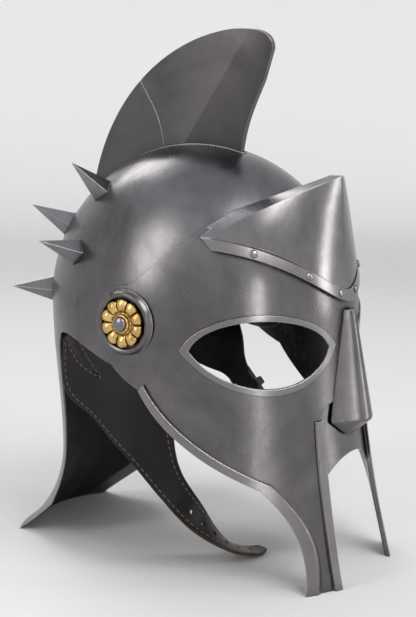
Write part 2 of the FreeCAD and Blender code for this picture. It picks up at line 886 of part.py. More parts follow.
def make_bolt():
    """The pivot bolt, whose domed head stands on the rosette."""
    inner = bowl_half_width - sheet - nut_gap - nut_thickness
    head = visor_half_width + rosette_gap + rosette_thickness + petal_height + turning_gap
    shank = on_axis(bolt_radius, inner, head - inner)
    profile = [
        (head, bolt_head_radius),
        (head + 0.5 * bolt_head_height, 0.9 * bolt_head_radius),
        (head + bolt_head_height, 0.4 * bolt_head_radius),
    ]
    dome = faceted([around_pivot(x, radius, facets_small) for x, radius in profile])
    return shank.fuse(dome).removeSplitter()


def make_nut():
    outer = bowl_half_width - sheet - nut_gap
    places = (outer - nut_thickness, outer)
    nut = faceted([around_pivot(x, nut_radius, 6) for x in places])
    return nut.cut(on_axis(bolt_radius + pin_clearance, 0, far))


def make_lining():
    """Leather inside the bowl, cut back from its edge and round the nuts."""
    outer = -sheet - seat
    leather = bowl_form(outer, 2).cut(bowl_form(outer - lining_thickness, 2))
    leather = leather.common(side_prism(bowl_outline(lining_margin)))
    room = on_axis(nut_radius + lining_thickness, 0, far)
    return leather.cut(room).cut(mirrored(room))


def make_headband():
    """A band sewn round the inside of the lining."""
    outer = -sheet - 2 * seat - lining_thickness
    ring = bowl_form(outer, 2).cut(bowl_form(outer - headband_thickness, 2))
    low = Vector(-far, -far, pivot_height + headband_rise)
    return ring.common(Part.makeBox(2 * far, 2 * far, headband_height, low))


def make_crown_pad():
    """A round pad under the crown."""
    outer = -sheet - 2 * seat - lining_thickness
    top = pivot_height + bowl_radius + outer
    pad = bowl_form(outer, 2).cut(bowl_form(outer - crown_pad_thickness, 2))
    low = Vector(0, dome_shift, top - 3 * crown_pad_thickness)
    return pad.common(Part.makeCylinder(crown_pad_radius, 4 * crown_pad_thickness, low))


def smooth(rows, steps):
    """Rows of numbers with further rows on a smooth curve between them."""
    result = []
    for i in range(len(rows) - 1):
        near = [rows[max(i - 1, 0)], rows[i], rows[i + 1], rows[min(i + 2, len(rows) - 1)]]
        for step in range(steps):
            t = step / steps
            row = []
            for a, b, c, d in zip(*near):
                bend = 2 * a - 5 * b + 4 * c - d
                twist = 3 * b - a - 3 * c + d
                row.append(b + 0.5 * ((c - a) * t + bend * t**2 + twist * t**3))
            result.append(row)
    return result + [list(rows[-1])]


def strap_sections(places, faces):
    """Middle, outer face's direction and corners of a right strap's cross-sections."""
    rows = [place + face for place, face in zip(places, faces)]
    rows = smooth(rows, strap_steps)
    middles = [
        Vector(-x * bowl_half_width, dome_shift + y * bowl_radius, z * pivot_height)
        for x, y, z, *_ in rows
    ]
    sections = []
    for i, middle in enumerate(middles):
        before = middles[max(i - 1, 0)]
        after = middles[min(i + 1, len(middles) - 1)]
        along = (after - before).normalize()
        across = along.cross(Vector(*rows[i][4:])).normalize()
        out = across.cross(along).normalize()
        side = across * (rows[i][3] * flap_width / 2)
        thick = out * (strap_thickness / 2)
        corners = [middle + side + thick, middle - side + thick]
        corners += [middle - side - thick, middle + side - thick]
        sections.append((middle, out, corners))
    return sections


def make_strap_right():
    """The chin strap's long side: an ear flap that narrows to a pointed strap with holes."""
    sections = strap_sections(strap_shares, strap_face_shares)
    leather = faceted([corners for _, _, corners in sections])
    for number in range(1, strap_hole_count + 1):
        left = strap_hole_pitch * number
        i = len(sections) - 1
        while left > (sections[i][0] - sections[i - 1][0]).Length:
            left -= (sections[i][0] - sections[i - 1][0]).Length
            i -= 1
        (here, out_here, _), (there, out_there, _) = sections[i], sections[i - 1]
        share = left / (there - here).Length
        out = (out_here + (out_there - out_here) * share).normalize()
        start = here + (there - here) * share - out * strap_thickness
        leather = leather.cut(rod_between(start, start + out * 2 * strap_thickness, strap_hole_radius))
    return leather


def buckle_frame_of_reference():
    """The bar's middle, the way up the strap, the bar's direction and the way out, at the right."""
    lean = math.radians(buckle_lean)
    back_up = Vector(0, math.sin(lean), math.cos(lean))
    along_bar = Vector(0, math.cos(lean), -math.sin(lean))
    x, y, z, _ = strap_left_shares[-1]
    end = Vector(-x * bowl_half_width, dome_shift + y * bowl_radius, z * pivot_height)
    bar = end - back_up * fold_length - outwards * (strap_thickness / 2)
    return bar, back_up, along_bar, outwards


def at_buckle(s, u, n):
    """A point up the strap from the bar, along the bar and out of the strap."""
    bar, back_up, along_bar, out = buckle_frame_of_reference()
    return bar + back_up * s + along_bar * u + out * n


def buckle_block(s_range, u_range, n_range):
    """A block between two values of each of the buckle's directions."""
    (s1, s2), (u1, u2), (n1, n2) = s_range, u_range, n_range
    places = [(s1, n1), (s2, n1), (s2, n2), (s1, n2)]
    return buckle_prism(places, u1, u2)


def buckle_prism(places, u1, u2):
    """A prism along the bar, over corners given up the strap and out of it."""
    points = [at_buckle(s, u1, n) for s, n in places]
    _, _, along_bar, _ = buckle_frame_of_reference()
    return Part.Face(Part.makePolygon(points + points[:1])).extrude(along_bar * (u2 - u1))


def buckle_round(radius, half):
    """A cylinder about the bar's axis."""
    _, _, along_bar, _ = buckle_frame_of_reference()
    return Part.makeCylinder(radius, 2 * half, at_buckle(0, -half, 0), along_bar)


def strap_half():
    """Half of the narrow strap's width."""
    return strap_left_shares[-1][3] * flap_width / 2


def make_strap_left():
    """The chin strap's short side: an ear flap whose narrow end is folded round the buckle's bar."""
    sections = strap_sections(strap_left_shares, strap_left_face_shares)
    flap = faceted([corners for _, _, corners in sections])
    eye = bar_radius + pin_clearance + strap_thickness
    bend = 2 * eye
    places = [(fold_length, strap_thickness), (bend, strap_thickness)]
    for i in range(facets_small + 1):
        turn = math.pi * i / facets_small
        places.append((-eye * math.sin(turn), eye * math.cos(turn)))
    places += [(bend, -strap_thickness), (fold_length - fold_step, -strap_thickness)]
    places += [(fold_length - fold_step, 0), (fold_length, 0)]
    fold = buckle_prism(places, -strap_half(), strap_half())
    slot = buckle_block((-far, slot_length), (-slot_half, slot_half), (-2 * eye, 2 * eye))
    bore = buckle_round(bar_radius + pin_clearance, 2 * strap_half())
    return mirrored(flap.fuse(fold).cut(slot).cut(bore))


def make_buckle_frame():
    """A square loop with a round bar, which swings in the strap's fold."""
    inner = strap_half() + frame_gap
    outer = inner + frame_bar
    deep = frame_bar / 2
    ring = buckle_block((-frame_length, frame_back), (-outer, outer), (-deep, deep))
    hole = buckle_block((frame_bar - frame_length, far), (-inner, inner), (-far, far))
    bar = buckle_round(bar_radius, (inner + outer) / 2)
    return mirrored(ring.cut(hole).fuse(bar))


def make_buckle_tongue():
    """The tongue: a ring on the bar and a rod that rests on the frame's front."""
    lift = frame_bar / 2 + tongue_gap + tongue_radius
    tip = at_buckle(-frame_length - tongue_overhang, 0, lift)
    rod = rod_between(at_buckle(0, 0, lift), tip, tongue_radius)
    ring = buckle_round(tongue_ring_radius, tongue_ring_half)
    bore = buckle_round(bar_radius + pin_clearance, 2 * tongue_ring_half)
    return mirrored(ring.fuse(rod).cut(bore))


def make_strap_keeper():
    """A leather loop round the fold, with room for the strap's loose end."""
    wide = strap_half() + keeper_gap
    low = -strap_thickness - keeper_gap
    high = 2 * strap_thickness + 2 * keeper_gap
    wall = keeper_thickness
    along = (keeper_place - keeper_half, keeper_place + keeper_half)
    loop = buckle_block(along, (-wide - wall, wide + wall), (low - wall, high + wall))
    return mirrored(loop.cut(buckle_block(along, (-wide, wide), (low, high))))


def export(name, shape):
    valid = all(solid.isValid() for solid in shape.Solids)
    print(f"{name}: {len(shape.Solids)} solids, valid {valid}, {shape.Volume / 1000:.2f} cm3")
    shape.exportStep(f"parts/{name}.step")


def main():
    os.makedirs("parts", exist_ok=True)
    export("skull_bowl", make_bowl())
    crest = make_crest_plate()
    export("crest_right_plate", crest)
    export("crest_left_plate", mirrored(crest))
    for number, place in enumerate(spike_places(), 1):
        export(f"spike_{number}", make_spike(*place))
    export("visor_shell", make_visor_shell())
    export("brow_plate", make_brow_plate())
    export("brow_band", make_brow_band())
    export("brow_rivets", make_brow_rivets())
    export("nose_guard", make_nose_guard())
    export("mouth_plate", make_mouth_plate())
    pairs = {
        "mouth_strip": make_mouth_strip(),
        "jaw_strip": make_jaw_strip(),
        "eye_rim": make_eye_rim(),
        "pivot_boss": make_boss(),
        "rosette": make_rosette(),
        "pivot_bolt": make_bolt(),
        "pivot_nut": make_nut(),
    }
    for name, shape in pairs.items():
        export(f"{name}_right", shape)
        export(f"{name}_left", mirrored(shape))
    export("leather_lining", make_lining())
    export("headband", make_headband())
    export("crown_pad", make_crown_pad())
    export("strap_right", make_strap_right())
    export("strap_left", make_strap_left())
    export("strap_keeper", make_strap_keeper())
    export("buckle_frame", make_buckle_frame())
    export("buckle_tongue", make_buckle_tongue())


main()
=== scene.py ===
import math
import bmesh
import bpy
import numpy as np
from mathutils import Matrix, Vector


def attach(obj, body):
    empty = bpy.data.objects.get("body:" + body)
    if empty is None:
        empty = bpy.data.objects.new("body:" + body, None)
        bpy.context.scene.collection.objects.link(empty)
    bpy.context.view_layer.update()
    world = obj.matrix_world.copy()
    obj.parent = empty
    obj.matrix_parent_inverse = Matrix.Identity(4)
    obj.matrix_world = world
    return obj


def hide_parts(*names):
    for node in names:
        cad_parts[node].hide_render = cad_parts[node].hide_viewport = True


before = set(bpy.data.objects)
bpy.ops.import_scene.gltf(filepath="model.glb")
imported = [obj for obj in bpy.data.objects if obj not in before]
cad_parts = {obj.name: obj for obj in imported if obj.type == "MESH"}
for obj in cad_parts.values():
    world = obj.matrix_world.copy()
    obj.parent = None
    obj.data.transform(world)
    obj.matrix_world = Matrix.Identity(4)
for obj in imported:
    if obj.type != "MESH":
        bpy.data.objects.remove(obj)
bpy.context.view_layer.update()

# Sizes in millimetres and angles in degrees, as in the solid model.
MM = 0.001
BOWL_R, BOWL_W, PIVOT_Z = 126.0, 102.0, 196.0
SHEET = 1.6
NAPE_R, NAPE_Z, RIM_R = 119.0, 78.0, 160.0
FOREHEAD, SIDE_LOBE, EAR_BACK, EAR_DROP = 26.0, 30.0, 72.0, 18.0
GUARD_FRONT, GUARD_CORNER_BACK, GUARD_CORNER_Z, GUARD_REST = 86.0, 101.0, 30.0, 141.0
GAP = 1.5
VISOR_R, VISOR_W = BOWL_R + GAP + SHEET, BOWL_W + GAP + SHEET
CHIN_R, FOOT_R = 140.0, 156.0
LOBE, TEMPLE_BACK, TEMPLE_RISE = 27.0, 44.0, 62.0
JAW_BACK, JAW_DROP, JAW_TURN_BACK, JAW_TURN_Z, GUARD_FOOT = 14.0, 49.0, 102.0, 78.0, 134.0
MOUTH_FOOT, MOUTH_TOP, MOUTH_ARCH, MOUTH_TOP_Z = 41.0, 34.0, 124.0, 137.0
EYE_TURN, EYE_LEVEL, EYE_OUTER, EYE_INNER = 44.0, -17.0, -35.0, 71.0
EYE_UPPER, EYE_LOWER, EYE_RIM, EYE_RIM_H = 22.0, 28.0, 4.5, 1.4
BROW_W, BROW_SIDE, BROW_LOW, BROW_PEAK, BROW_FOOT = 82.0, 64.0, 22.0, 106.0, 12.0
BROW_REACH, BROW_KEEL, BROW_LAP, BROW_RETURN, BROW_GAP = 112.0, 11.0, 9.0, 10.0, 0.9
BAND_W, BAND_T = 9.0, 3.4
RIVET_R, RIVET_H, RIVETS = 3.0, 1.4, (0.16, 0.5, 0.84)
# The nose guard's sections: height about the pivot, half width, half ridge width and reach.
NOSE = [(8.0, 7.0, 2.5, VISOR_R + 6.0), (-75.0, 27.0, 6.0, VISOR_R + 20.9), (-88.0, 19.0, 6.0, VISOR_R + 5.9)]
PLATE_HALF, PLATE_TOP, PLATE_SIDE, PLATE_ARCH = 46.0, 147.0, 74.0, 94.0
STRIP_W, STRIP_T = 6.0, 2.2
CREST_FRONT, CREST_REAR, CREST_H, CREST_BASE, CREST_TIP, CREST_TAPER = 18.5, 57.0, 92.0, 7.0, 1.8, 40.0
BOLT_HEAD_R, BOLT_HEAD_H = 5.5, 3.0
ROSE_R, ROSE_T, ROSE_GAP, PETALS, VALLEY_R, HEART_R, PETAL_H = 18.0, 2.0, 0.5, 10, 15.5, 7.0, 3.2
BOSS_IN, BOSS_TOP, BOSS_OUT, BOSS_H = 18.6, 21.5, 25.0, 3.0
NUT_R, LINING, LINING_MARGIN = 6.0, 2.4, 5.0
HEADBAND_T, HEADBAND_H, HEADBAND_RISE, PAD_R, PAD_T = 2.0, 30.0, 32.0, 50.0, 12.0
STRAP_T, FLAP_W, HOLE_R, HOLES, HOLE_PITCH = 3.0, 58.0, 2.0, 6, 14.0
LEAN, FOLD, FOLD_STEP, SLOT_HALF, SLOT_LENGTH, BAR_R = 40.0, 36.0, 4.0, 2.2, 12.0, 1.5
KEEPER_AT, KEEPER_HALF, KEEPER_T, KEEPER_GAP, PIN_GAP, TURN_GAP = 20.0, 3.5, 1.6, 0.3, 0.06, 0.3
BORE_R, BORE_FROM, BORE_TO = 3.06, 40.0, 140.0
SHIFT = -5.0
PIVOT = np.array([0.0, SHIFT, PIVOT_Z])
# What trim keeps off the sheet under it, and the flange off the mask's edge.
SEAT, FIT = 0.2, 0.1
# How far cutting tools reach, the domed forms go below the floor, and the fin's slab goes above it.
FAR, BELOW, OVERRUN = 280.0, 60.0, 60.0
# A Bezier curve's share that draws a quarter of a circle.
QUARTER = 0.5523
SIDES = ((-1, "right"), (1, "left"))
RNG = np.random.default_rng(7)


# Materials

BLACK, WHITE = (0, 0, 0), (1, 1, 1)
RUSTY_TINT = (1.0, 0.93, 0.92)
# Dark pits are the sheet's own; the pale colour and its share lighten edges as a painted highlight, and the
# radius also rounds the edges' shading.
PIT_COLOUR, EDGE_HIGHLIGHT_COLOUR = (0.04, 0.032, 0.03, 1), (0.6, 0.58, 0.58, 1)
EDGE_ROUND_RADIUS, EDGE_HIGHLIGHT_SHARE = 0.0008, 0.75
# How far and how deep painted shade darkens corners and recesses, on sheet steel and on brass.
SHEET_CORNER_SHADE, BRASS_CORNER_SHADE = (0.016, 0.4), (0.003, 0.25)


def nodes_of(name):
    mat = bpy.data.materials.new(name)
    mat.use_nodes = True
    return mat, mat.node_tree, mat.node_tree.nodes["Principled BSDF"]


def feed(tree, node, inputs):
    """Sets a node's inputs to values or links them to sockets."""
    for key, value in inputs.items():
        if isinstance(value, bpy.types.NodeSocket):
            tree.links.new(value, node.inputs[key])
        else:
            node.inputs[key].default_value = value


def add(tree, kind, inputs=None, **settings):
    node = tree.nodes.new("ShaderNode" + kind)
    for key, value in settings.items():
        setattr(node, key, value)
    feed(tree, node, inputs or {})
    return node


def object_place(tree):
    return add(tree, "TexCoord").outputs["Object"]


def noise(tree, scale, detail=4.0, rough=0.5, stretch=(1, 1, 1), turn=(0, 0, 0), distortion=0.0):
    """Noise in object space, in copies per metre, stretched along an axis."""
    inputs = {"Vector": object_place(tree), "Rotation": turn, "Scale": stretch}
    place = add(tree, "Mapping", inputs).outputs["Vector"]
    inputs = {"Vector": place, "Scale": scale, "Detail": detail, "Roughness": rough, "Distortion": distortion}
    return add(tree, "TexNoise", inputs).outputs["Fac"]


def ramp(tree, source, stops):
    node = add(tree, "ValToRGB", {"Fac": source})
    elements = node.color_ramp.elements
    while len(elements) < len(stops):
        elements.new(0.5)
    for element, (place, colour) in zip(elements, stops):
        element.position = place
        element.color = (*colour, 1)
    return node.outputs["Color"]


def spread(tree, source, low, high):
    """The middle half of a noise's range, spread from low to high."""
    inputs = {"Value": source, "From Min": 0.25, "From Max": 0.75, "To Min": low, "To Max": high}
    return add(tree, "MapRange", inputs).outputs["Result"]


def times(tree, first, second):
    return add(tree, "Math", {0: first, 1: second}, operation="MULTIPLY").outputs[0]


def mixed(tree, share, first, second, blend="MIX"):
    node = add(tree, "Mix", data_type="RGBA", blend_type=blend)
    feed(tree, node, {0: share, 6: first, 7: second})
    return node.outputs[2]


def edge_rounding(tree):
    """The rounded normal of an edge and how much of an edge a place is, the mask of the painted edge
    highlight.
    """
    rounded_way = add(tree, "Bevel", {"Radius": EDGE_ROUND_RADIUS}, samples=4).outputs["Normal"]
    way = add(tree, "NewGeometry").outputs["Normal"]
    dot = add(tree, "VectorMath", {0: rounded_way, 1: way}, operation="DOT_PRODUCT")
    inputs = {"Value": dot.outputs["Value"], "From Min": 0.97, "From Max": 0.8}
    return rounded_way, add(tree, "MapRange", inputs).outputs["Result"]


def corner_shade(tree, colour, reach, depth):
    """Darkens a colour by ambient occlusion in corners and recesses: painted shade."""
    shelter = add(tree, "AmbientOcclusion", {"Distance": reach}, samples=6).outputs["AO"]
    return mixed(tree, 1.0, colour, ramp(tree, shelter, [(0.35, (depth,) * 3), (0.85, WHITE)]), "MULTIPLY")


def bump(tree, layers, normal=None):
    """Bump nodes in a chain, each with a height source, a strength and a distance in metres."""
    for source, strength, distance in layers:
        inputs = {"Height": source, "Strength": strength, "Distance": distance}
        if normal:
            inputs["Normal"] = normal
        normal = add(tree, "Bump", inputs).outputs["Normal"]
    return normal


def steel(name, light, dark, smooth, rough, scratch=0.1, specks=0.6):
    """Hand-polished sheet: cloudy colour, smears, scratches, dark pits, a painted highlight on edges and
    painted shade in corners.
    """
    mat, tree, shader = nodes_of(name)
    middle = tuple((a + b) / 2 for a, b in zip(light, dark))
    cloud = noise(tree, 11, 6, 0.62, distortion=0.4)
    colour = ramp(tree, cloud, [(0.28, dark), (0.5, middle), (0.72, light)])
    warm = ramp(tree, noise(tree, 5, 3), [(0.45, WHITE), (0.75, RUSTY_TINT)])
    colour = mixed(tree, 1.0, colour, warm, "MULTIPLY")
    pits = ramp(tree, noise(tree, 260, 2), [(0.7, BLACK), (0.76, WHITE)])
    patch = ramp(tree, noise(tree, 24, 3), [(0.5, BLACK), (0.66, WHITE)])
    colour = mixed(tree, times(tree, times(tree, pits, patch), specks), colour, PIT_COLOUR)
    normal, edge = edge_rounding(tree)
    # Painted highlight: edges lightened towards a pale colour.
    colour = mixed(tree, times(tree, edge, EDGE_HIGHLIGHT_SHARE), colour, EDGE_HIGHLIGHT_COLOUR)
    smear = noise(tree, 26, 7, 0.68, stretch=(1, 1, 0.35), distortion=0.3)
    fine = noise(tree, 900, 3, 0.6, stretch=(1.0, 1.0, 0.03), turn=(0.3, 0.2, 0.0))
    cross = noise(tree, 700, 2, 0.6, stretch=(0.03, 1.0, 1.0), turn=(0.1, 0.5, 0.9))
    grain = noise(tree, 1400, 2)
    layers = [(fine, scratch, 0.0004), (cross, 0.6 * scratch, 0.0004), (grain, 0.5 * scratch, 0.0003)]
    layers.append((noise(tree, 60, 3), 0.12, 0.0008))
    # The base colour carries painted shade in corners and recesses.
    inputs = {"Base Color": corner_shade(tree, colour, *SHEET_CORNER_SHADE), "Metallic": 1.0}
    inputs["Roughness"] = spread(tree, smear, smooth, rough)
    inputs["Normal"] = bump(tree, layers, normal)
    feed(tree, shader, inputs)
    return mat


def brass(name, dark, middle, light):
    mat, tree, shader = nodes_of(name)
    colour = ramp(tree, noise(tree, 120, 5, 0.6), [(0.3, dark), (0.55, middle), (0.8, light)])
    # The base colour carries painted shade in corners and recesses.
    inputs = {"Base Color": corner_shade(tree, colour, *BRASS_CORNER_SHADE), "Metallic": 1.0}
    inputs["Roughness"] = spread(tree, noise(tree, 200), 0.22, 0.42)
    inputs["Normal"] = bump(tree, [(noise(tree, 900, 3), 0.15, 0.0004)])
    feed(tree, shader, inputs)
    return mat


def leather(name, light, dark, rough, grain=700):
    mat, tree, shader = nodes_of(name)
    inputs = {"Vector": object_place(tree), "Scale": grain}
    cells = add(tree, "TexVoronoi", inputs).outputs["Distance"]
    creases = noise(tree, 90, 5, 0.7, stretch=(1, 1, 0.4), distortion=0.6)
    inputs = {"Base Color": ramp(tree, noise(tree, 35, 6, 0.65), [(0.3, dark), (0.75, light)])}
    inputs["Normal"] = bump(tree, [(creases, 0.14, 0.0012), (cells, 0.35, 0.0005)])
    inputs["Roughness"] = spread(tree, noise(tree, 60), rough - 0.08, rough + 0.12)
    inputs["Specular IOR Level"] = 0.22
    feed(tree, shader, inputs)
    return mat


def thread(name, colour, rough):
    mat, tree, shader = nodes_of(name)
    dark = tuple(0.7 * c for c in colour)
    inputs = {"Base Color": ramp(tree, noise(tree, 300, 3), [(0.3, dark), (0.7, colour)]), "Roughness": rough}
    inputs["Normal"] = bump(tree, [(noise(tree, 2500, 2), 0.3, 0.0003)])
    feed(tree, shader, inputs)
    return mat


STEEL = steel("polished_steel", (0.2, 0.19, 0.194), (0.08, 0.076, 0.078), 0.17, 0.4, 0.08)
# The fin's steel is a darker copy of the steel, which is painted shade; its rougher, more scratched finish is
# its own.
STEEL_DARK = steel("crest_steel", (0.1, 0.094, 0.096), (0.042, 0.04, 0.041), 0.26, 0.42, 0.14)
STEEL_BRIGHT = steel("edge_steel", (0.28, 0.266, 0.27), (0.17, 0.161, 0.164), 0.2, 0.32, 0.08, 0.3)
STEEL_POLISHED = steel("brow_steel", (0.29, 0.276, 0.281), (0.12, 0.114, 0.117), 0.17, 0.31, 0.08, 0.4)
BLUED = steel("blued_steel", (0.08, 0.08, 0.088), (0.045, 0.045, 0.05), 0.35, 0.5)
BUCKLE = steel("buckle_steel", (0.6, 0.6, 0.6), (0.5, 0.5, 0.5), 0.25, 0.35, 0.05)
BRASS = brass("brass", (0.42, 0.25, 0.07), (0.72, 0.5, 0.2), (0.85, 0.64, 0.3))
BLACK_LEATHER = leather("black_leather", (0.009, 0.009, 0.0088), (0.0035, 0.0035, 0.0034), 0.38)
LINING_LEATHER = leather("lining_leather", (0.008, 0.0078, 0.0075), (0.003, 0.0029, 0.0028), 0.6, 900)
PAD_LEATHER = leather("pad_leather", (0.1, 0.065, 0.045), (0.05, 0.033, 0.022), 0.7, 1000)
RAW_EDGE = leather("raw_edge", (0.09, 0.05, 0.03), (0.04, 0.024, 0.015), 0.75, 1500)
THREAD = thread("thread", (0.24, 0.12, 0.06), 0.75)


# Mesh helpers


def circle(count):
    """Angles once round."""
    return np.linspace(0, 2 * math.pi, count, endpoint=False)


def unit(vectors):
    """Vectors of the last axis, made 1 long."""
    return vectors / np.linalg.norm(vectors, axis=-1, keepdims=True)


def facing(out):
    """The directions across and up a surface that looks along out."""
    across = unit(np.cross((0, 0, 1), out))
    return across, np.cross(out, across)


def piece(points, faces, name="piece"):
    mesh = bpy.data.meshes.new(name)
    mesh.from_pydata([tuple(float(c) * MM for c in p) for p in points], [], faces)
    mesh.update()
    obj = bpy.data.objects.new(name, mesh)
    bpy.context.scene.collection.objects.link(obj)
    return obj


def tidy_normals(obj, angle):
    mesh = obj.data
    mesh.polygons.foreach_set("use_smooth", [True] * len(mesh.polygons))
    mesh.set_sharp_from_angle(angle=math.radians(angle))
    mod = obj.modifiers.new("weighted", "WEIGHTED_NORMAL")
    mod.keep_sharp = True
    mod.weight = 90
    return obj


def applied(obj):
    graph = bpy.context.evaluated_depsgraph_get()
    mesh = bpy.data.meshes.new_from_object(obj.evaluated_get(graph))
    obj.modifiers.clear()
    old = obj.data
    obj.data = mesh
    bpy.data.meshes.remove(old)
    return obj


def boolean(obj, tool, operation):
    mod = obj.modifiers.new("cut", "BOOLEAN")
    mod.object = tool
    mod.operation = operation
    mod.solver = "MANIFOLD"
    applied(obj)
    mesh = tool.data
    bpy.data.objects.remove(tool)
    bpy.data.meshes.remove(mesh)
    return obj


def cut(obj, tool):
    return boolean(obj, tool, "DIFFERENCE")


def common(obj, tool):
    return boolean(obj, tool, "INTERSECT")


def joined(objects):
    """One mesh of several, each with its own material."""
    with bpy.context.temp_override(active_object=objects[0], selected_editable_objects=objects):
        bpy.ops.object.join()
    return objects[0]


def rounded(obj, width, segments=2, angle=30):
    mod = obj.modifiers.new("rounding", "BEVEL")
    mod.width = width * MM
    mod.segments = segments
    mod.limit_method = "ANGLE"
    mod.angle_limit = math.radians(angle)
    return obj


def bridge(rings, looped=False):
    """Points and faces between rings of points, with flat ends or looped."""
    rings = np.asarray(rings)
    n, m, _ = rings.shape
    points = rings.reshape(-1, 3)
    faces = []
    last = n if looped else n - 1
    for i in range(last):
        j = (i + 1) % n
        for k in range(m):
            l = (k + 1) % m
            faces.append((i * m + k, i * m + l, j * m + l, j * m + k))
    if not looped:
        faces.append(tuple(range(m))[::-1])
        faces.append(tuple((n - 1) * m + k for k in range(m)))
    return points, faces


def loft(rings, looped=False):
    return out_facing(piece(*bridge(rings, looped)))


def out_facing(obj):
    """Turns a closed mesh's faces outwards."""
    solid = bmesh.new()
    solid.from_mesh(obj.data)
    if solid.calc_volume(signed=True) < 0:
        obj.data.flip_normals()
    solid.free()
    return obj


def prism(outline, place, way):
    """A block from an outline, whose points place() puts in space, along a way."""
    low = np.array([place(*p) for p in outline], float)
    return loft([low, low + np.array(way)])


def side_prism(outline):
    return prism(outline, lambda y, rise: (-FAR, SHIFT + y, PIVOT_Z + rise), (2 * FAR, 0, 0))


def front_prism(outline):
    return prism(outline, lambda x, rise: (x, 0, PIVOT_Z + rise), (0, -FAR, 0))


def box(low, high):
    """A block between two opposite corners."""
    (x1, y1, z1), (x2, y2, z2) = low, high
    return prism([(x1, y1), (x2, y1), (x2, y2), (x1, y2)], lambda x, y: (x, y, z1), (0, 0, z2 - z1))


def about_pivot(x, radius, turn, side):
    return (side * x, SHIFT + radius * math.cos(turn), PIVOT_Z + radius * math.sin(turn))


def turned(profile, side, steps=48, looped=False):
    """A closed ring or a capped solid from (distance off the middle, radius) turned about the pivot."""
    rings = [[about_pivot(x, r, t, side) for t in circle(steps)] for x, r in profile]
    return loft(rings, looped)


def bored(obj, side, radius=BORE_R):
    """Cuts one side's bore about the pivot."""
    return cut(obj, turned([(BORE_FROM, radius), (BORE_TO, radius)], side))


def bezier(poles, t):
    a, b, c, d = (np.array(p, float) for p in poles)
    return (1 - t) ** 3 * a + 3 * t * (1 - t) ** 2 * b + 3 * t * t * (1 - t) * c + t**3 * d


def arc(x, y, wide, high, turns):
    """Points of an ellipse about (x, y), from its top on."""
    return [(x + wide * math.sin(t), y + high * math.cos(t)) for t in turns]


def curve(poles, count):
    """Points of a Bezier curve without its first."""
    return [tuple(bezier(poles, t)) for t in np.linspace(0, 1, count + 1)[1:]]


def outline(start, *steps, count=40):
    points = [tuple(start)]
    for step in steps:
        if isinstance(step[0], (tuple, list)):
            points += curve([points[-1], *step], count)
        else:
            points.append(tuple(step))
    chosen = points[:1]
    for p in points[1:]:
        if math.dist(p, chosen[-1]) > 0.05 and math.dist(p, points[0]) > 0.05:
            chosen.append(p)
    return chosen


# Domed sheets


def wave(p):
    """Slight waves of a hand-beaten sheet, in millimetres."""
    x, y, z = p[..., 0], p[..., 1], p[..., 2]
    w = np.sin(x / 17 + y / 29 + 1.3) * np.sin(z / 21 - y / 33)
    w += 0.7 * np.sin(x / 31 - z / 15 + 0.4) * np.sin(y / 19 + 2.1)
    w += 0.4 * np.sin(z / 9 + x / 13) * np.sin(y / 11 - x / 16 + 0.7)
    return 0.13 * w


def profile_normals(points):
    points = np.array(points)
    way = unit(np.gradient(points, axis=0))
    return points, np.column_stack([-way[:, 1], way[:, 0]])


def crown_arc(radius):
    return arc(0, PIVOT_Z, radius, radius, np.linspace(0, math.pi / 2, 60))


def bowl_profile():
    drop = (PIVOT_Z - NAPE_Z) / 3
    poles = [(BOWL_R, PIVOT_Z), (BOWL_R, PIVOT_Z - drop), (NAPE_R, NAPE_Z + drop), (NAPE_R, NAPE_Z)]
    flare = RIM_R - NAPE_R
    radius = (flare**2 + NAPE_Z**2) / (2 * flare)
    end = math.asin(NAPE_Z / radius)
    turns = np.linspace(0, end, 30)[1:]
    guard = [(NAPE_R + radius * (1 - math.cos(t)), NAPE_Z - radius * math.sin(t)) for t in turns]
    return profile_normals(crown_arc(BOWL_R) + curve(poles, 39) + guard)


def visor_profile():
    third = PIVOT_Z / 3
    poles = [(VISOR_R, PIVOT_Z), (VISOR_R, PIVOT_Z - third), (CHIN_R, third), (FOOT_R, 0)]
    return profile_normals(crown_arc(VISOR_R) + curve(poles, 65))


def form(profile, widest, half_width, grow, turns=192):
    """A profile run round the helmet and squeezed sideways, grown by a distance, as a closed solid."""
    points, out = profile
    squeeze = (half_width + grow) / (widest + grow)
    c, s = np.cos(circle(turns)), np.sin(circle(turns))
    rings = []
    for (r, z), (out_r, out_z) in zip(points, out):
        r0, z0 = r + grow * out_r, z + grow * out_z
        ring = np.stack([squeeze * r0 * c, SHIFT + r0 * s, np.full(turns, z0)], axis=1)
        away = np.stack([out_r * c, out_r * s, np.full(turns, out_z)], axis=1)
        rings.append(ring + away * wave(ring)[:, None])
    foot = rings[-1].copy()
    foot[:, 2] = -BELOW
    points, faces = bridge(rings[1:] + [foot])
    faces.pop(-2)
    pole = len(points)
    faces += [(pole, (k + 1) % turns, k) for k in range(turns)]
    return out_facing(piece(np.vstack([points, [0, SHIFT, rings[0][0, 2]]]), faces))


BOWL_PROFILE, VISOR_PROFILE = bowl_profile(), visor_profile()


def bowl(grow):
    return form(BOWL_PROFILE, BOWL_R, BOWL_W, grow)


def visor(grow):
    return form(VISOR_PROFILE, VISOR_R, VISOR_W, grow)


def layer(kind, outer, inner):
    return cut(kind(outer), kind(inner))


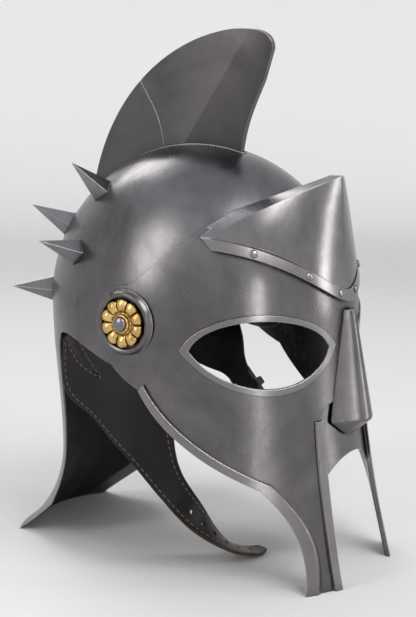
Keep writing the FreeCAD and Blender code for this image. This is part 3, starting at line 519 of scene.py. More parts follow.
def bowl_outline(margin):
    lobe, ear, front = SIDE_LOBE - margin, -EAR_DROP + margin, GUARD_FRONT + margin
    corner = (GUARD_CORNER_BACK + margin, GUARD_CORNER_Z + margin - PIVOT_Z)
    rest, brow = margin - PIVOT_Z, FOREHEAD + margin
    return outline(
        (-FAR, brow),
        (-2 * lobe, brow),
        ((-1.35 * lobe, brow), (-lobe, 0.6 * lobe), (-lobe, 0)),
        ((-lobe, -0.75 * lobe), (-0.6 * lobe, -1.2 * lobe), (0, -1.2 * lobe)),
        ((0.8 * lobe, -1.2 * lobe), (EAR_BACK - 0.8 * lobe, ear), (EAR_BACK, ear)),
        ((front, ear), (front, ear - 0.4 * lobe), (front, ear - lobe)),
        ((front, NAPE_Z - PIVOT_Z), (front, 0.75 * corner[1]), corner),
        (GUARD_REST, rest),
        (FAR, rest),
        (FAR, FAR),
        (-FAR, FAR),
    )


JAW_INSET = [(-0.6, 0.8), (-0.6, 0.8), (-0.7, 0.7), (-0.8, 0.6), (-0.92, 0.4), (-0.95, 0.3), (-1.0, 0.0)]


def jaw_poles(margin):
    turn = JAW_TURN_Z - PIVOT_Z
    poles = [
        (-JAW_BACK, -JAW_DROP),
        (-2.4 * JAW_BACK, -1.65 * JAW_DROP),
        (-0.72 * JAW_TURN_BACK, 0.87 * turn),
        (-JAW_TURN_BACK, turn),
        (-0.93 * GUARD_FOOT, 1.22 * turn),
        (-0.98 * GUARD_FOOT, -0.85 * PIVOT_Z),
        (-GUARD_FOOT, -PIVOT_Z),
    ]
    return [(y + margin * dy, r + margin * dz) for (y, r), (dy, dz) in zip(poles, JAW_INSET)]


def visor_outline():
    jaw = jaw_poles(0)
    return outline(
        (-FAR, TEMPLE_RISE + 60),
        (-TEMPLE_BACK - 60, TEMPLE_RISE + 60),
        (-TEMPLE_BACK, TEMPLE_RISE),
        ((-0.6 * TEMPLE_BACK, 0.84 * TEMPLE_RISE), (-0.55 * LOBE, 1.25 * LOBE), (0, LOBE)),
        ((0.6 * LOBE, LOBE), (LOBE, 0.6 * LOBE), (LOBE, 0)),
        ((LOBE, -0.8 * LOBE), (0.3 * LOBE, -1.5 * LOBE), jaw[0]),
        jaw[1:4],
        jaw[4:7],
        (-FAR, -PIVOT_Z),
    )


def mouth_half(height):
    return MOUTH_FOOT + (MOUTH_TOP - MOUTH_FOOT) / MOUTH_ARCH * height


def mouth_window():
    arch, top, foot = MOUTH_ARCH - PIVOT_Z, MOUTH_TOP_Z - PIVOT_Z, -PIVOT_Z - BELOW
    half = MOUTH_TOP
    return outline(
        (-mouth_half(-BELOW), foot),
        (-half, arch),
        ((-half, top), (-0.5 * half, top), (0, top)),
        ((0.5 * half, top), (half, top), (half, arch)),
        (mouth_half(-BELOW), foot),
    )


def eye_prism(margin, side):
    """An eye opening's prism, at the wearer's right for side -1."""
    turn = math.radians(EYE_TURN)
    across = np.array([-side * math.cos(turn), -math.sin(turn), 0])
    out = np.array([side * math.sin(turn), -math.cos(turn), 0])
    wide = EYE_INNER - EYE_OUTER
    high = EYE_LEVEL + (EYE_UPPER + margin) * 4 / 3
    low = EYE_LEVEL - (EYE_LOWER + margin) * 4 / 3
    start = (EYE_OUTER - 1.4 * margin, EYE_LEVEL)
    end = (EYE_INNER + 1.4 * margin, EYE_LEVEL)
    wire = outline(
        start,
        ((EYE_OUTER + 0.1 * wide, high), (EYE_INNER - 0.16 * wide, high), end),
        ((EYE_INNER - 0.1 * wide, low), (EYE_OUTER + 0.24 * wide, low), start),
    )
    return prism(wire, lambda u, rise: PIVOT + across * u + np.array([0, 0, rise]), out * FAR)


def brow_edge(shares, low, high, shift):
    """Poles at shares of the brow plate's half width and of the height from low to high."""
    return [(BROW_W * w, low + (high - low) * r + shift) for w, r in shares]


def brow_lower(shift):
    return brow_edge([(0, 0), (0.3, 0.06), (0.66, 0.76), (1, 1)], BROW_LOW, BROW_SIDE, shift)


def reflected(poles):
    return [(-x, r) for x, r in poles]


def brow_outline(shift):
    rising = brow_edge([(1, 0), (0.82, 0.42), (0.36, 0.84), (0, 1)], BROW_SIDE, BROW_PEAK, shift)
    lower = brow_lower(shift)
    return outline(
        (-BROW_W, BROW_SIDE + shift),
        reflected(rising)[1:],
        rising[-2::-1],
        lower[-2::-1],
        reflected(lower)[1:],
    )


def below_brow(shift):
    poles = brow_lower(shift)
    shape = outline(
        (-FAR, -FAR),
        (-FAR, FAR),
        (-BROW_W, FAR),
        (-BROW_W, BROW_SIDE + shift),
        reflected(poles)[-2::-1],
        poles[1:],
        (BROW_W, FAR),
        (FAR, FAR),
        (FAR, -FAR),
    )
    return front_prism(shape)


def brow_form(grow):
    top = BROW_PEAK + 20
    foot = math.sqrt(VISOR_R**2 - BROW_FOOT**2) + BROW_GAP + SHEET
    squeeze = VISOR_W / VISOR_R
    rings = []
    for share in np.linspace(0, 1, 46):
        rise = BROW_FOOT + (top - BROW_FOOT) * share
        half = squeeze * math.sqrt(VISOR_R**2 - rise**2) + BROW_GAP + SHEET + grow
        reach = foot + (BROW_REACH - foot) * share + grow
        tip = reach + BROW_KEEL * share**1.5
        poles = [(half, 0), (half, QUARTER * reach), (QUARTER * half, reach), (0, tip)]
        right = [(half, 0), *curve(poles, 59)]
        rings.append([[x, SHIFT - y, PIVOT_Z + rise] for x, y in right + reflected(right[-2::-1])])
    rings = np.array(rings)
    return loft(rings + wave(rings)[..., None] * np.array([0, -1, 0]))


def finish(obj, name, body, material=None, replaces=(), angle=28):
    """Names a piece and puts it on its body, with a material or the ones that it has."""
    obj.name = obj.data.name = name
    if material:
        obj.data.materials.clear()
        obj.data.materials.append(material)
    tidy_normals(obj, angle)
    if replaces:
        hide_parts(*replaces)
    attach(obj, body)
    return obj


def raised(height, shape):
    """Trim of a height on the visor, within a shape."""
    return common(layer(visor, SEAT + height, SEAT), shape)


dome = bored(bored(common(layer(bowl, 0, -SHEET), side_prism(bowl_outline(0))), -1), 1)
finish(dome, "dome_sheet", "skull", STEEL, ["skull_bowl"])

mask = common(layer(visor, 0, -SHEET), side_prism(visor_outline()))
front = mask.copy()
front.data = mask.data.copy()
bpy.context.scene.collection.objects.link(front)
front = common(front, below_brow(BROW_LAP))
# The halves overlap by a hair.
back = common(mask, box((-FAR, -0.01, -FAR), (FAR, FAR, 2 * FAR)))
mask = cut(boolean(front, back, "UNION"), front_prism(mouth_window()))
for side, _ in SIDES:
    mask = bored(cut(mask, eye_prism(0, side)), side)
finish(mask, "mask_sheet", "visor", STEEL, ["visor_shell"])

plate = common(cut(brow_form(0), brow_form(-SHEET)), front_prism(brow_outline(0)))
edge = cut(front_prism(brow_outline(0)), front_prism(brow_outline(-SHEET)))
flange = common(cut(brow_form(0), brow_form(-BROW_RETURN)), edge)
flange = cut(flange, common(visor(FIT), below_brow(BROW_LAP + FIT)))
plate = cut(boolean(plate, flange, "UNION"), bowl(GAP))
finish(plate, "brow_sheet", "visor", STEEL_POLISHED, ["brow_plate"])

high, low = brow_lower(-SEAT), brow_lower(-SEAT - BAND_W)
wire = outline(
    reflected(low)[-1],
    reflected(low)[-2::-1],
    low[1:],
    high[-1],
    high[-2::-1],
    reflected(high)[1:],
)
band = rounded(raised(BAND_T, front_prism(wire)), 1.2, 3)
finish(band, "brow_band_raised", "visor", STEEL_BRIGHT, ["brow_band"])

half = PLATE_HALF
side_r, arch_r, top_r = PLATE_SIDE - PIVOT_Z, PLATE_ARCH - PIVOT_Z, PLATE_TOP - PIVOT_Z
wire = outline(
    (-half, side_r),
    (-0.8 * half, top_r),
    (0.8 * half, top_r),
    (half, side_r),
    ((0.8 * half, side_r), (0.6 * half, arch_r), (0, arch_r)),
    ((-0.6 * half, arch_r), (-0.8 * half, side_r), (-half, side_r)),
)
mouth = common(layer(visor, -SHEET - SEAT, -2 * SHEET - SEAT), front_prism(wire))
finish(mouth, "mouth_sheet", "visor", STEEL, ["mouth_plate"])

for side, word in SIDES:
    wire = [(side * mouth_half(0), -PIVOT_Z), (side * (mouth_half(0) + STRIP_W), -PIVOT_Z)]
    wire.append((side * (mouth_half(MOUTH_ARCH) + STRIP_W), MOUTH_ARCH - PIVOT_Z))
    wire.append((side * mouth_half(MOUTH_ARCH), MOUTH_ARCH - PIVOT_Z))
    mouth_strip = rounded(raised(STRIP_T, front_prism(wire)), 0.8)
    near, inner = jaw_poles(0), jaw_poles(STRIP_W)
    wire = outline(near[0], near[1:4], near[4:7], inner[-1], inner[5:2:-1], inner[2::-1])
    jaw_strip = common(raised(STRIP_T, side_prism(wire)), box((0, -FAR, 0), (side * FAR, FAR, FAR)))
    rim = raised(EYE_RIM_H, cut(eye_prism(EYE_RIM, side), eye_prism(0, side)))
    trims = [
        (mouth_strip, "mouth_edge_", "mouth_strip_"),
        (rounded(jaw_strip, 0.8), "jaw_edge_", "jaw_strip_"),
        (rounded(rim, 0.6), "eye_edge_", "eye_rim_"),
    ]
    for trim, name, node in trims:
        finish(trim, name + word, "visor", STEEL_BRIGHT, [node + word])

rings = []
for rise, half, ridge, reach in NOSE:
    root = 0.5 * (0.8 * VISOR_R + reach)
    stand, lean, turn = reach - root, half - ridge, 0.25 * ridge
    cheek = [(-half, root), (-half + 0.08 * lean, root + 0.22 * stand)]
    cheek += [(-ridge - 0.3 * lean, reach - 0.08 * stand), (-ridge - turn, reach - turn)]
    front = [cheek[-1], (-ridge + turn, reach + 0.2), (-2.0, reach + 0.5), (0, reach + 0.5)]
    corners = [(-half, 0.8 * VISOR_R), cheek[0], *curve(cheek, 11), *curve(front, 6)]
    rings.append([[x, SHIFT - y, PIVOT_Z + rise] for x, y in corners + reflected(corners[-2::-1])])
nose = applied(rounded(loft(rings), 1.5, 4, 30))
finish(cut(nose, visor(SEAT)), "nose_wedge", "visor", STEEL, ["nose_guard"], 35)


# Crest


# The fin's outline, in shares of its height over the dome and of its turn to its front or rear end.
CREST_EDGE = [
    (-0.09, 1.0), (0.566, 0.57), (0.897, 0.18), (0.97, -0.43), (1.05, -0.82),
    (1.01, -0.98), (0.83, -1.0), (0.52, -1.01), (0.32, -0.8), (-0.09, -1.0),
]


def crest_point(rise, turn, margin):
    radius = BOWL_R + CREST_H * rise - margin
    limit = CREST_REAR if turn > 0 else CREST_FRONT
    angle = math.radians(limit) * turn - math.copysign(margin / radius, turn)
    return radius * math.sin(angle), radius * math.cos(angle)


def crest_outline(margin):
    points = [crest_point(*shares, margin) for shares in CREST_EDGE]
    return outline(points[0], *[points[i : i + 3] for i in range(1, len(points), 3)])


def crest_slab(inset, side):
    low, high = PIVOT_Z, PIVOT_Z + BOWL_R + CREST_H
    lean = (CREST_BASE - CREST_TIP) / CREST_H
    bottom = side * (CREST_TIP + lean * (high - low) - inset)
    top = side * max(CREST_TIP - inset, THINNEST)
    high += OVERRUN
    wire = [(0, low), (bottom, low), (top, high), (0, high)]
    return prism(wire, lambda x, z: (x, -FAR, z), (0, 2 * FAR, 0))


CREST_FOOT, CREST_HEAD = crest_point(*CREST_EDGE[-1], 0), crest_point(*CREST_EDGE[5], 0)
CREST_LEAN = (CREST_HEAD[0] - CREST_FOOT[0]) / (CREST_HEAD[1] - CREST_FOOT[1])
CREST_SLOPE = (CREST_BASE - CREST_TIP) / CREST_TAPER
CREST_MARGIN, GROOVE_ENDS, GROOVE_BOW, THINNEST = 14, [(47, 167), (27, 119)], 4, 0.05


def crest_half(y, rise):
    """Half of the fin's thickness at a place of its side view."""
    high = BOWL_R + CREST_H
    slab = CREST_TIP + (CREST_BASE - CREST_TIP) / CREST_H * high * (1 - rise / (high + OVERRUN))
    front = CREST_FOOT[0] + CREST_LEAN * (rise - CREST_FOOT[1])
    return min(slab, CREST_TIP + CREST_SLOPE * max(y - front, 0))


def crest_wedge(inset, side):
    front = SHIFT + CREST_FOOT[0] - CREST_LEAN * CREST_FOOT[1]
    edge = max(CREST_TIP - inset, THINNEST)
    wire = [(0, front), (edge, front), (edge + 2 * CREST_SLOPE * FAR, front + 2 * FAR), (0, front + 2 * FAR)]
    return prism(wire, lambda x, y: (side * x, y, PIVOT_Z), (0, CREST_LEAN * FAR, FAR))


def crest_groove(side):
    """A fine groove where the fin's two sheets of one side are welded."""
    (y1, rise1), (y2, rise2) = GROOVE_ENDS
    rings = []
    for share in np.linspace(-0.2, 1.3, 40):
        y = y1 + share * (y2 - y1) - GROOVE_BOW * math.sin(math.pi * share)
        rise = rise1 + share * (rise2 - rise1)
        x = side * (crest_half(y, rise) + 0.2)
        rings.append([[x + 0.9 * math.cos(t), SHIFT + y + math.sin(t), PIVOT_Z + rise] for t in circle(8)])
    return loft(rings)


def fin_block(side, inset, margin):
    """Half of the fin, inside by a distance of its faces and a margin of its outline."""
    block = common(crest_slab(inset, side), side_prism(crest_outline(margin)))
    return common(block, crest_wedge(inset, side))


def tube(path, radius, around=10, looped=False):
    """Rings of points round a path, with one radius or one for each point."""
    path = np.array(path, float)
    ways = np.gradient(path, axis=0)
    if looped:
        ways = np.roll(path, -1, axis=0) - np.roll(path, 1, axis=0)
    ways = unit(ways)
    side = np.cross(ways[0], (0.3, 0.5, 0.81))
    rings = []
    for point, way, r in zip(path, ways, np.broadcast_to(radius, len(path))):
        side = unit(side - way * np.dot(side, way))
        up = np.cross(way, side)
        rings.append([point + r * (math.cos(t) * side + math.sin(t) * up) for t in circle(around)])
    return np.array(rings)


def on_dome(y_turn, x):
    """A dome point at an angle behind the top and a distance to the side."""
    radius = BOWL_R * math.sqrt(1 - (x / BOWL_W) ** 2)
    return radius * math.sin(y_turn), radius * math.cos(y_turn)


for side, word in SIDES:
    fin = cut(fin_block(side, 0, 0), fin_block(side, SHEET, CREST_MARGIN))
    fin = rounded(cut(cut(fin, bowl(0)), crest_groove(side)), 0.5, 2, 40)
    finish(fin, f"crest_{word}", "skull", STEEL_DARK, [f"crest_{word}_plate"])

half_path = []
for turn in np.radians(np.linspace(-18.3, 56.6, 190)):
    x = 0.0
    for _ in range(5):
        x = crest_half(*on_dome(turn, x))
    y, rise = on_dome(turn, x)
    half_path.append((x + 0.3, SHIFT + y, PIVOT_Z + rise))
loop = [(-x, y, z) for x, y, z in half_path] + half_path[::-1]
ripple = 0.85 + 0.12 * np.sin(np.arange(len(loop)) * 1.9) + 0.12 * RNG.random(len(loop))
bead = loft(tube(loop, ripple, 8, True), True)
finish(bead, "crest_weld", "skull", STEEL_BRIGHT, angle=80)


# Spikes

SPIKE_HALF, SPIKE_SINK = 10.0, 4.0
# Degrees behind the dome's top and to its side.
SPIKES = [(31.0, 33.0), (53.0, 53.0), (58.0, 24.0), (86.0, 26.0)]
DOME_SIZE = np.array([BOWL_W, BOWL_R, BOWL_R])


def dome_frame(angle, turn):
    """A dome point, angle degrees behind the top and turn to the side, and the way out there."""
    a, b = math.radians(angle), math.radians(turn)
    ball = np.array([math.sin(b), math.cos(b) * math.sin(a), math.cos(b) * math.cos(a)])
    return PIVOT + ball * DOME_SIZE, unit(ball / DOME_SIZE)


def to_dome(point, out):
    """The dome's surface beyond a point, along a direction."""
    o, d = (point - PIVOT) / DOME_SIZE, out / DOME_SIZE
    a, b, c = d @ d, 2 * o @ d, o @ o - 1
    return point + out * (-b + math.sqrt(b * b - 4 * a * c)) / (2 * a)


# Dark blued tubes round each spike's foot: a painted shadow of the seam.
corners = [(1, 0), (0, 1), (-1, 0), (0, -1), (1, 0)]
seams = []
for angle, turn in SPIKES:
    for side, _ in SIDES:
        point, out = dome_frame(angle, side * turn)
        across, up = facing(out)
        path = []
        for (i, j), (k, l) in zip(corners, corners[1:]):
            for t in np.linspace(0, 1, 10, endpoint=False):
                place = SPIKE_HALF * (across * (i + (k - i) * t) + up * (j + (l - j) * t))
                path.append(to_dome(point - out * SPIKE_SINK + place, out))
        width = 0.5 + 0.14 * RNG.random(len(path))
        seams.append(loft(tube(path, width, 8, True), True))
finish(joined(seams), "spike_seams", "skull", BLUED, angle=80)


# Pivots


def lobe(turn):
    """Height of a petal across its width, 0 in a valley and 1 on its middle."""
    part = (turn * PETALS / (2 * math.pi)) % 1.0
    return math.sqrt(max(0.0, 1 - (2 * part - 1) ** 2))


def rosette(side):
    back = VISOR_W + ROSE_GAP
    face = back + ROSE_T

    def ring(fn):
        return [about_pivot(*fn(lobe(t)), t, side) for t in circle(240)]

    rim = lambda w: VALLEY_R + (ROSE_R - VALLEY_R) * w
    rings = [
        ring(lambda w: (back, 0.5)),
        ring(lambda w: (back, rim(w) - 0.4)),
        ring(lambda w: (back + 0.4, rim(w))),
        ring(lambda w: (face - 0.8, rim(w))),
    ]
    for share in np.linspace(0.0, 1.0, 18):
        rise = math.sin(math.pi * min(1.0, 0.12 + 0.95 * share)) ** 0.7
        rings.append(
            ring(lambda w: (
                face - 0.6 + (PETAL_H * rise + 0.5) * (0.12 + 0.88 * w),
                rim(w) - 0.35 + (HEART_R + 0.6 - rim(w) + 0.35) * share,
            ))
        )
    top = face + PETAL_H
    heart = [(face, HEART_R + 0.3), (face + 0.3, HEART_R), (top - 0.7, HEART_R), (top - 0.2, HEART_R - 0.3)]
    heart += [(top, HEART_R - 0.9), (top, 5.9), (top - 0.9, 5.6), (top - 0.9, 0.5)]
    for x, r in heart:
        rings.append(ring(lambda w: (x, r)))
    return loft(rings)


for side, word in SIDES:
    flower = bored(rosette(side), side)
    finish(flower, f"rosette_flower_{word}", "visor", BRASS, [f"rosette_{word}"], 40)
    deep, bend = VISOR_W - BOSS_H, VISOR_W + 0.8
    profile = [(deep, BOSS_IN), (bend, BOSS_IN)]
    profile += arc(bend, BOSS_TOP, BOSS_H - 0.8, BOSS_IN - BOSS_TOP, np.linspace(0, math.pi / 2, 8))
    for share in np.linspace(0.1, 1, 12):
        fall = 0.5 + 0.5 * math.cos(math.pi * share)
        profile.append((VISOR_W - SEAT + (BOSS_H + SEAT) * fall, BOSS_TOP + (BOSS_OUT - BOSS_TOP) * share))
    profile.append((deep, BOSS_OUT))
    ring = cut(turned(profile, side, 120, looped=True), visor(SEAT))
    finish(ring, f"pivot_ring_{word}", "visor", STEEL, [f"pivot_boss_{word}"], 50)
    head = VISOR_W + ROSE_GAP + ROSE_T + PETAL_H + TURN_GAP
    inner = BOWL_W - SHEET - 0.7 - 5.0
    profile = [(inner, 3.0), (head, 3.0), (head, BOLT_HEAD_R - 0.3), (head + 0.3, BOLT_HEAD_R)]
    turns = np.linspace(0.1, math.pi / 2 - 0.06, 12)
    profile += arc(head + 0.3, 0, BOLT_HEAD_H - 0.3, BOLT_HEAD_R, turns)
    bolt = turned(profile, side)
    finish(bolt, f"bolt_{word}", "skull", STEEL_BRIGHT, [f"pivot_bolt_{word}"], 40)

heads = []
middle = brow_lower(-SEAT - BAND_W / 2)
reach, wide = VISOR_R + SEAT + BAND_T, VISOR_W + SEAT + BAND_T
profile = [(0, RIVET_R), (0.5, RIVET_R)] + arc(0.5, 0, RIVET_H - 0.2, RIVET_R, np.linspace(0.15, 1.5, 8))
for side, _ in SIDES:
    for share in RIVETS:
        x, rise = bezier(middle, share)
        y = -reach * math.sqrt(1 - (x / wide) ** 2 - (rise / reach) ** 2)
        place = np.array([side * x, y, rise])
        out = unit(place / np.array([wide, reach, reach]) ** 2)
        across, up = facing(out)
        base = PIVOT + place - out * 0.3
        ways = [math.cos(t) * across + math.sin(t) * up for t in circle(28)]
        heads.append(loft([[base + out * h + r * way for way in ways] for h, r in profile]))
heads = joined(heads)
finish(heads, "brow_rivet_heads", "visor", STEEL_BRIGHT, ["brow_rivets"], 50)


# Leather


def mirrored_if(points, side):
    points = np.array(points, float)
    points[..., 0] *= -side
    return points


inner = -SHEET - SEAT
lining = common(layer(bowl, inner, inner - LINING), side_prism(bowl_outline(LINING_MARGIN)))
for side, _ in SIDES:
    lining = bored(lining, side, NUT_R + LINING)
rounded(lining, 0.7, 2, 50)
finish(lining, "lining_shell", "skull", LINING_LEATHER, ["leather_lining"])

face = inner - LINING
seams = []
for turn in np.radians(np.arange(22.5, 360, 45)):
    path = []
    for fall in np.radians(np.linspace(26, 100, 60)):
        r = math.sin(fall)
        ball = np.array([r * math.sin(turn), r * math.cos(turn), math.cos(fall)])
        path.append(PIVOT + ball * (DOME_SIZE + face))
    seams.append(common(loft(tube(path, 0.9, 8)), side_prism(bowl_outline(LINING_MARGIN + 2))))
finish(joined(seams), "lining_seams", "skull", BLACK_LEATHER, angle=70)

face -= SEAT
band = layer(bowl, face, face - HEADBAND_T)
low = PIVOT_Z + HEADBAND_RISE
band = common(band, box((-FAR, -FAR, low), (FAR, FAR, low + HEADBAND_H)))
finish(rounded(band, 0.7, 2, 50), "head_band", "skull", PAD_LEATHER, ["headband"])


def under_crown(x, y, grow):
    """Height of the dome's form, grown by a distance, over a place in the plan."""
    return PIVOT_Z + (BOWL_R + grow) * math.sqrt(1 - (x / (BOWL_W + grow)) ** 2 - (y / (BOWL_R + grow)) ** 2)


def pad_ring(radius, thick):
    ring = []
    for t in circle(144):
        x, y = radius * math.sin(t), radius * math.cos(t)
        edge = max(0.0, 1 - (radius / PAD_R) ** 6) ** 0.5
        gore = abs(math.sin(3 * t)) ** 0.45 * (1 - math.exp(-((radius / 7) ** 2)))
        depth = thick * PAD_T * (0.14 + 0.86 * edge * (0.35 + 0.65 * gore)) + (1 - thick) * 0.1
        drop = 0.5 * PAD_T * (1 - edge) * (1 - thick)
        ring.append((x, SHIFT + y, under_crown(x, y, face) - depth - drop * 0.3))
    return ring


radii = [0.3, 3, 6, 9, 13, 17, 22, 27, 32, 37, 41, 44, 46.5, 48.3, 49.5, 50]
pad = loft([pad_ring(r, 1) for r in radii] + [pad_ring(r, 0) for r in radii[::-1]])
pad = finish(pad, "crown_cushion", "skull", PAD_LEATHER, ["crown_pad"], 70)


def smooth(rows, steps):
    rows = np.array(rows, float)
    result = []
    for i in range(len(rows) - 1):
        a, b, c, d = rows[max(i - 1, 0)], rows[i], rows[i + 1], rows[min(i + 2, len(rows) - 1)]
        for step in range(steps):
            t = step / steps
            bend, twist = 2 * a - 5 * b + 4 * c - d, 3 * b - a - 3 * c + d
            result.append(b + 0.5 * ((c - a) * t + bend * t**2 + twist * t**3))
    return np.array(result + [rows[-1]])


def run_along(points):
    """Each point's distance along a path."""
    return np.concatenate([[0], np.cumsum(np.linalg.norm(np.diff(points, axis=0), axis=1))])


class Strap:
    """A leather ribbon over the table's places, in the right strap's coordinates."""

    def __init__(self, table, steps, folds, belly):
        rows = smooth(table, steps)
        self.middle = rows[:, :3] * (-BOWL_W, BOWL_R, PIVOT_Z) + (0, SHIFT, 0)
        way = unit(np.gradient(self.middle, axis=0))
        across = unit(np.cross(way, rows[:, 4:]))
        self.half = rows[:, 3] * FLAP_W / 2
        self.table = np.column_stack([self.middle, across, np.cross(across, way), self.half])
        self.along = run_along(self.middle)
        self.length = self.along[-1]
        self.folds, self.belly = folds, belly

    def at(self, s, w, lift):
        """A point s millimetres along, w from -1 to 1 across, lift off the middle layer."""
        row = np.array([np.interp(s, self.along, column) for column in self.table.T])
        u = w * row[9] + self.belly(s, w)
        return row[:3] + row[3:6] * u + row[6:9] * (lift + self.folds(s, w))

    def ribbon(self):
        t = 0.43 * STRAP_T
        flat = np.linspace(-1, 1, 25)
        section = [(w, t) for w in flat[1:-1]]
        edge = [(0.985, t - 0.12), (1.0, t - 0.55), (1.0, 0.55 - t), (0.985, 0.12 - t)]
        section += edge + [(w, -t) for w in flat[1:-1][::-1]] + [(-w, n) for w, n in edge[::-1]]
        places = np.linspace(0, self.length, int(self.length / 2.2))
        rings = [[self.at(s, w, n) for w, n in section] for s in places]
        obj = loft(rings)
        m = len(section)
        edge_at = set(range(23, 26)) | set(range(m - 4, m - 1))
        obj.data.materials.append(BLACK_LEATHER)
        obj.data.materials.append(RAW_EDGE)
        for index, polygon in enumerate(obj.data.polygons):
            if index < (len(rings) - 1) * m and index % m in edge_at:
                polygon.material_index = 1
        return obj

    def stitches(self, lines, dash=3.3, gap=1.9):
        """Thread dashes along lines of (s, w) places on the outer face."""
        made = []
        for line in lines:
            line = np.array(line, float)
            marks = np.linspace(0, len(line) - 1, 400)
            sw = np.stack([np.interp(marks, range(len(line)), line[:, k]) for k in (0, 1)], axis=1)
            points = np.array([self.at(s, w, 0.43 * STRAP_T - 0.02) for s, w in sw])
            run = run_along(points)
            start = 0.0
            while start + dash < run[-1]:
                length = dash * (0.92 + 0.16 * RNG.random())
                places = start + length * np.array([0, 0.15, 0.5, 0.85, 1])
                path = np.stack([np.interp(places, run, points[:, k]) for k in range(3)], axis=1)
                made.append(tube(path, [0.12, 0.36, 0.42, 0.36, 0.12], 6))
                start += dash + gap
        return made


# Rows along a strap: place in shares of BOWL_W, BOWL_R and PIVOT_Z, width in FLAP_W, and the way out.
STRAP_RIGHT = [
    (0.785, 0.5, 0.93, 0.62, -0.96, 0.25, 0.1),
    (0.84, 0.36, 0.80, 0.98, -0.98, 0.1, -0.1),
    (0.845, 0.17, 0.655, 0.93, -0.97, 0.0, -0.2),
    (0.81, -0.02, 0.50, 0.62, -0.93, -0.1, 0.3),
    (0.72, -0.16, 0.335, 0.41, -0.75, -0.2, 0.6),
    (0.545, -0.28, 0.18, 0.39, -0.5, -0.2, 0.85),
    (0.33, -0.375, 0.065, 0.38, -0.25, -0.1, 0.95),
    (0.13, -0.43, 0.018, 0.38, -0.1, 0.0, 1.0),
    (0.0, -0.462, 0.012, 0.16, -0.05, 0.0, 1.0),
]
STRAP_LEFT = [
    (0.785, 0.5, 0.93, 0.62, -0.96, 0.25, 0.1),
    (0.84, 0.37, 0.81, 0.96, -0.98, 0.1, -0.1),
    (0.85, 0.25, 0.715, 0.82, -1.0, 0.0, 0.0),
    (0.845, 0.165, 0.65, 0.48, -1.0, 0.0, 0.0),
    (0.84, 0.12, 0.615, 0.38, -1.0, 0.0, 0.0),
]
# The dart's end, in millimetres along and in the width's share across.
DART = (46.0, -0.05)


def flap_folds(s, w):
    """How far the flap's leather stands out, with a sewn dart and a slight hollow."""
    reach = max(0.0, 1 - s / DART[0])
    low, high = DART[1] + 0.2 * reach, DART[1] + 0.77 * reach
    inside = 0.0
    if s < DART[0] and low < w < high:
        inside = math.sin(math.pi * (w - low) / (high - low))
    swell = math.exp(-((s - 34) ** 2) / 500) * max(0.0, w) ** 2
    fade = math.exp(-((s / 150) ** 4))
    return fade * (-1.9 * inside + 1.6 * swell - 0.9 * (1 - w * w)) + 0.35 * math.sin(s / 11 + 2 * w) * fade


def flap_back(s, w):
    """How far the flap's rear edge bulges."""
    return 9.0 * math.exp(-((s - 36) ** 2) / 420) * max(0.0, w) ** 1.5


def flap_belly(s, w):
    return flap_back(s, w) - 10.0 * math.exp(-((s - 96) ** 2) / 480) * max(0.0, -w) ** 1.2


def edge_lines(strap, end, inset=3.4):
    """Lines beside both edges, up to an end."""
    lines = []
    for side, _ in SIDES:
        places = np.linspace(4, end, 60)
        lines.append([(s, side * (1 - inset / np.interp(s, strap.along, strap.half))) for s in places])
    return lines


def dart_lines():
    s0, w0 = DART
    return [
        [(s0 * t, w0 + k * (1 - t) + bow * math.sin(math.pi * t)) for t in np.linspace(0.02, 1.0, 30)]
        for k, bow in ((0.2, -0.05), (0.77, 0.06))
    ]


def stitched(name, strap, lines, side):
    threads = [loft(mirrored_if(rings, side)) for rings in strap.stitches(lines)]
    finish(joined(threads), name, "skull", THREAD, angle=80)


long_side = Strap(STRAP_RIGHT, 12, flap_folds, flap_belly)
strap = long_side.ribbon()
for number in range(1, HOLES + 1):
    s = long_side.length - HOLE_PITCH * number
    a, b = long_side.at(s, 0, -6), long_side.at(s, 0, 6)
    strap = cut(strap, loft(tube([a, b], HOLE_R, 24)))
finish(strap, "chin_strap_long", "skull", None, ["strap_right"], 60)
stitched("chin_strap_thread", long_side, edge_lines(long_side, long_side.length - 16) + dart_lines(), -1)

short_side = Strap(STRAP_LEFT, 12, flap_folds, lambda s, w: 0.8 * flap_back(s, w))
flap = short_side.ribbon()
LEAN_R = math.radians(LEAN)
UP_STRAP = np.array([0, math.sin(LEAN_R), math.cos(LEAN_R)])
ALONG_BAR = np.array([0, math.cos(LEAN_R), -math.sin(LEAN_R)])
OUT = np.array([-1.0, 0, 0])
BAR = short_side.middle[-1] - UP_STRAP * FOLD - OUT * STRAP_T / 2


def at_buckle(s, u, n):
    return BAR + UP_STRAP * s + ALONG_BAR * u + OUT * n


def buckle_prism(places, u1, u2):
    return loft([[at_buckle(s, u, n) for s, n in places] for u in (u1, u2)])


wide = short_side.half[-1]
bore_r = BAR_R + PIN_GAP
eye_r = bore_r + STRAP_T
places = [(FOLD, STRAP_T), (2 * eye_r, STRAP_T)]
places += arc(0, 0, -eye_r, eye_r, np.linspace(0, math.pi, 33))
places += [(2 * eye_r, -STRAP_T), (FOLD - FOLD_STEP, -STRAP_T), (FOLD - FOLD_STEP, 0), (FOLD, 0)]
fold = buckle_prism(places, -wide, wide)
slot = buckle_prism([(-60, -20), (SLOT_LENGTH, -20), (SLOT_LENGTH, 20), (-60, 20)], -SLOT_HALF, SLOT_HALF)
fold = cut(fold, slot)
bore = buckle_prism(arc(0, 0, -bore_r, bore_r, circle(32)), -2 * wide, 2 * wide)
fold = applied(rounded(cut(fold, bore), 0.45, 2, 50))
fold.data.materials.clear()
fold.data.materials.append(BLACK_LEATHER)
flap = joined([flap, fold])
for vertex in flap.data.vertices:
    vertex.co.x *= -1
flap.data.flip_normals()
finish(flap, "chin_strap_short", "skull", None, ["strap_left"], 60)
lines = edge_lines(short_side, short_side.length - 3)
lines.append([(short_side.length - 2, w) for w in np.linspace(-0.7, 0.7, 8)])
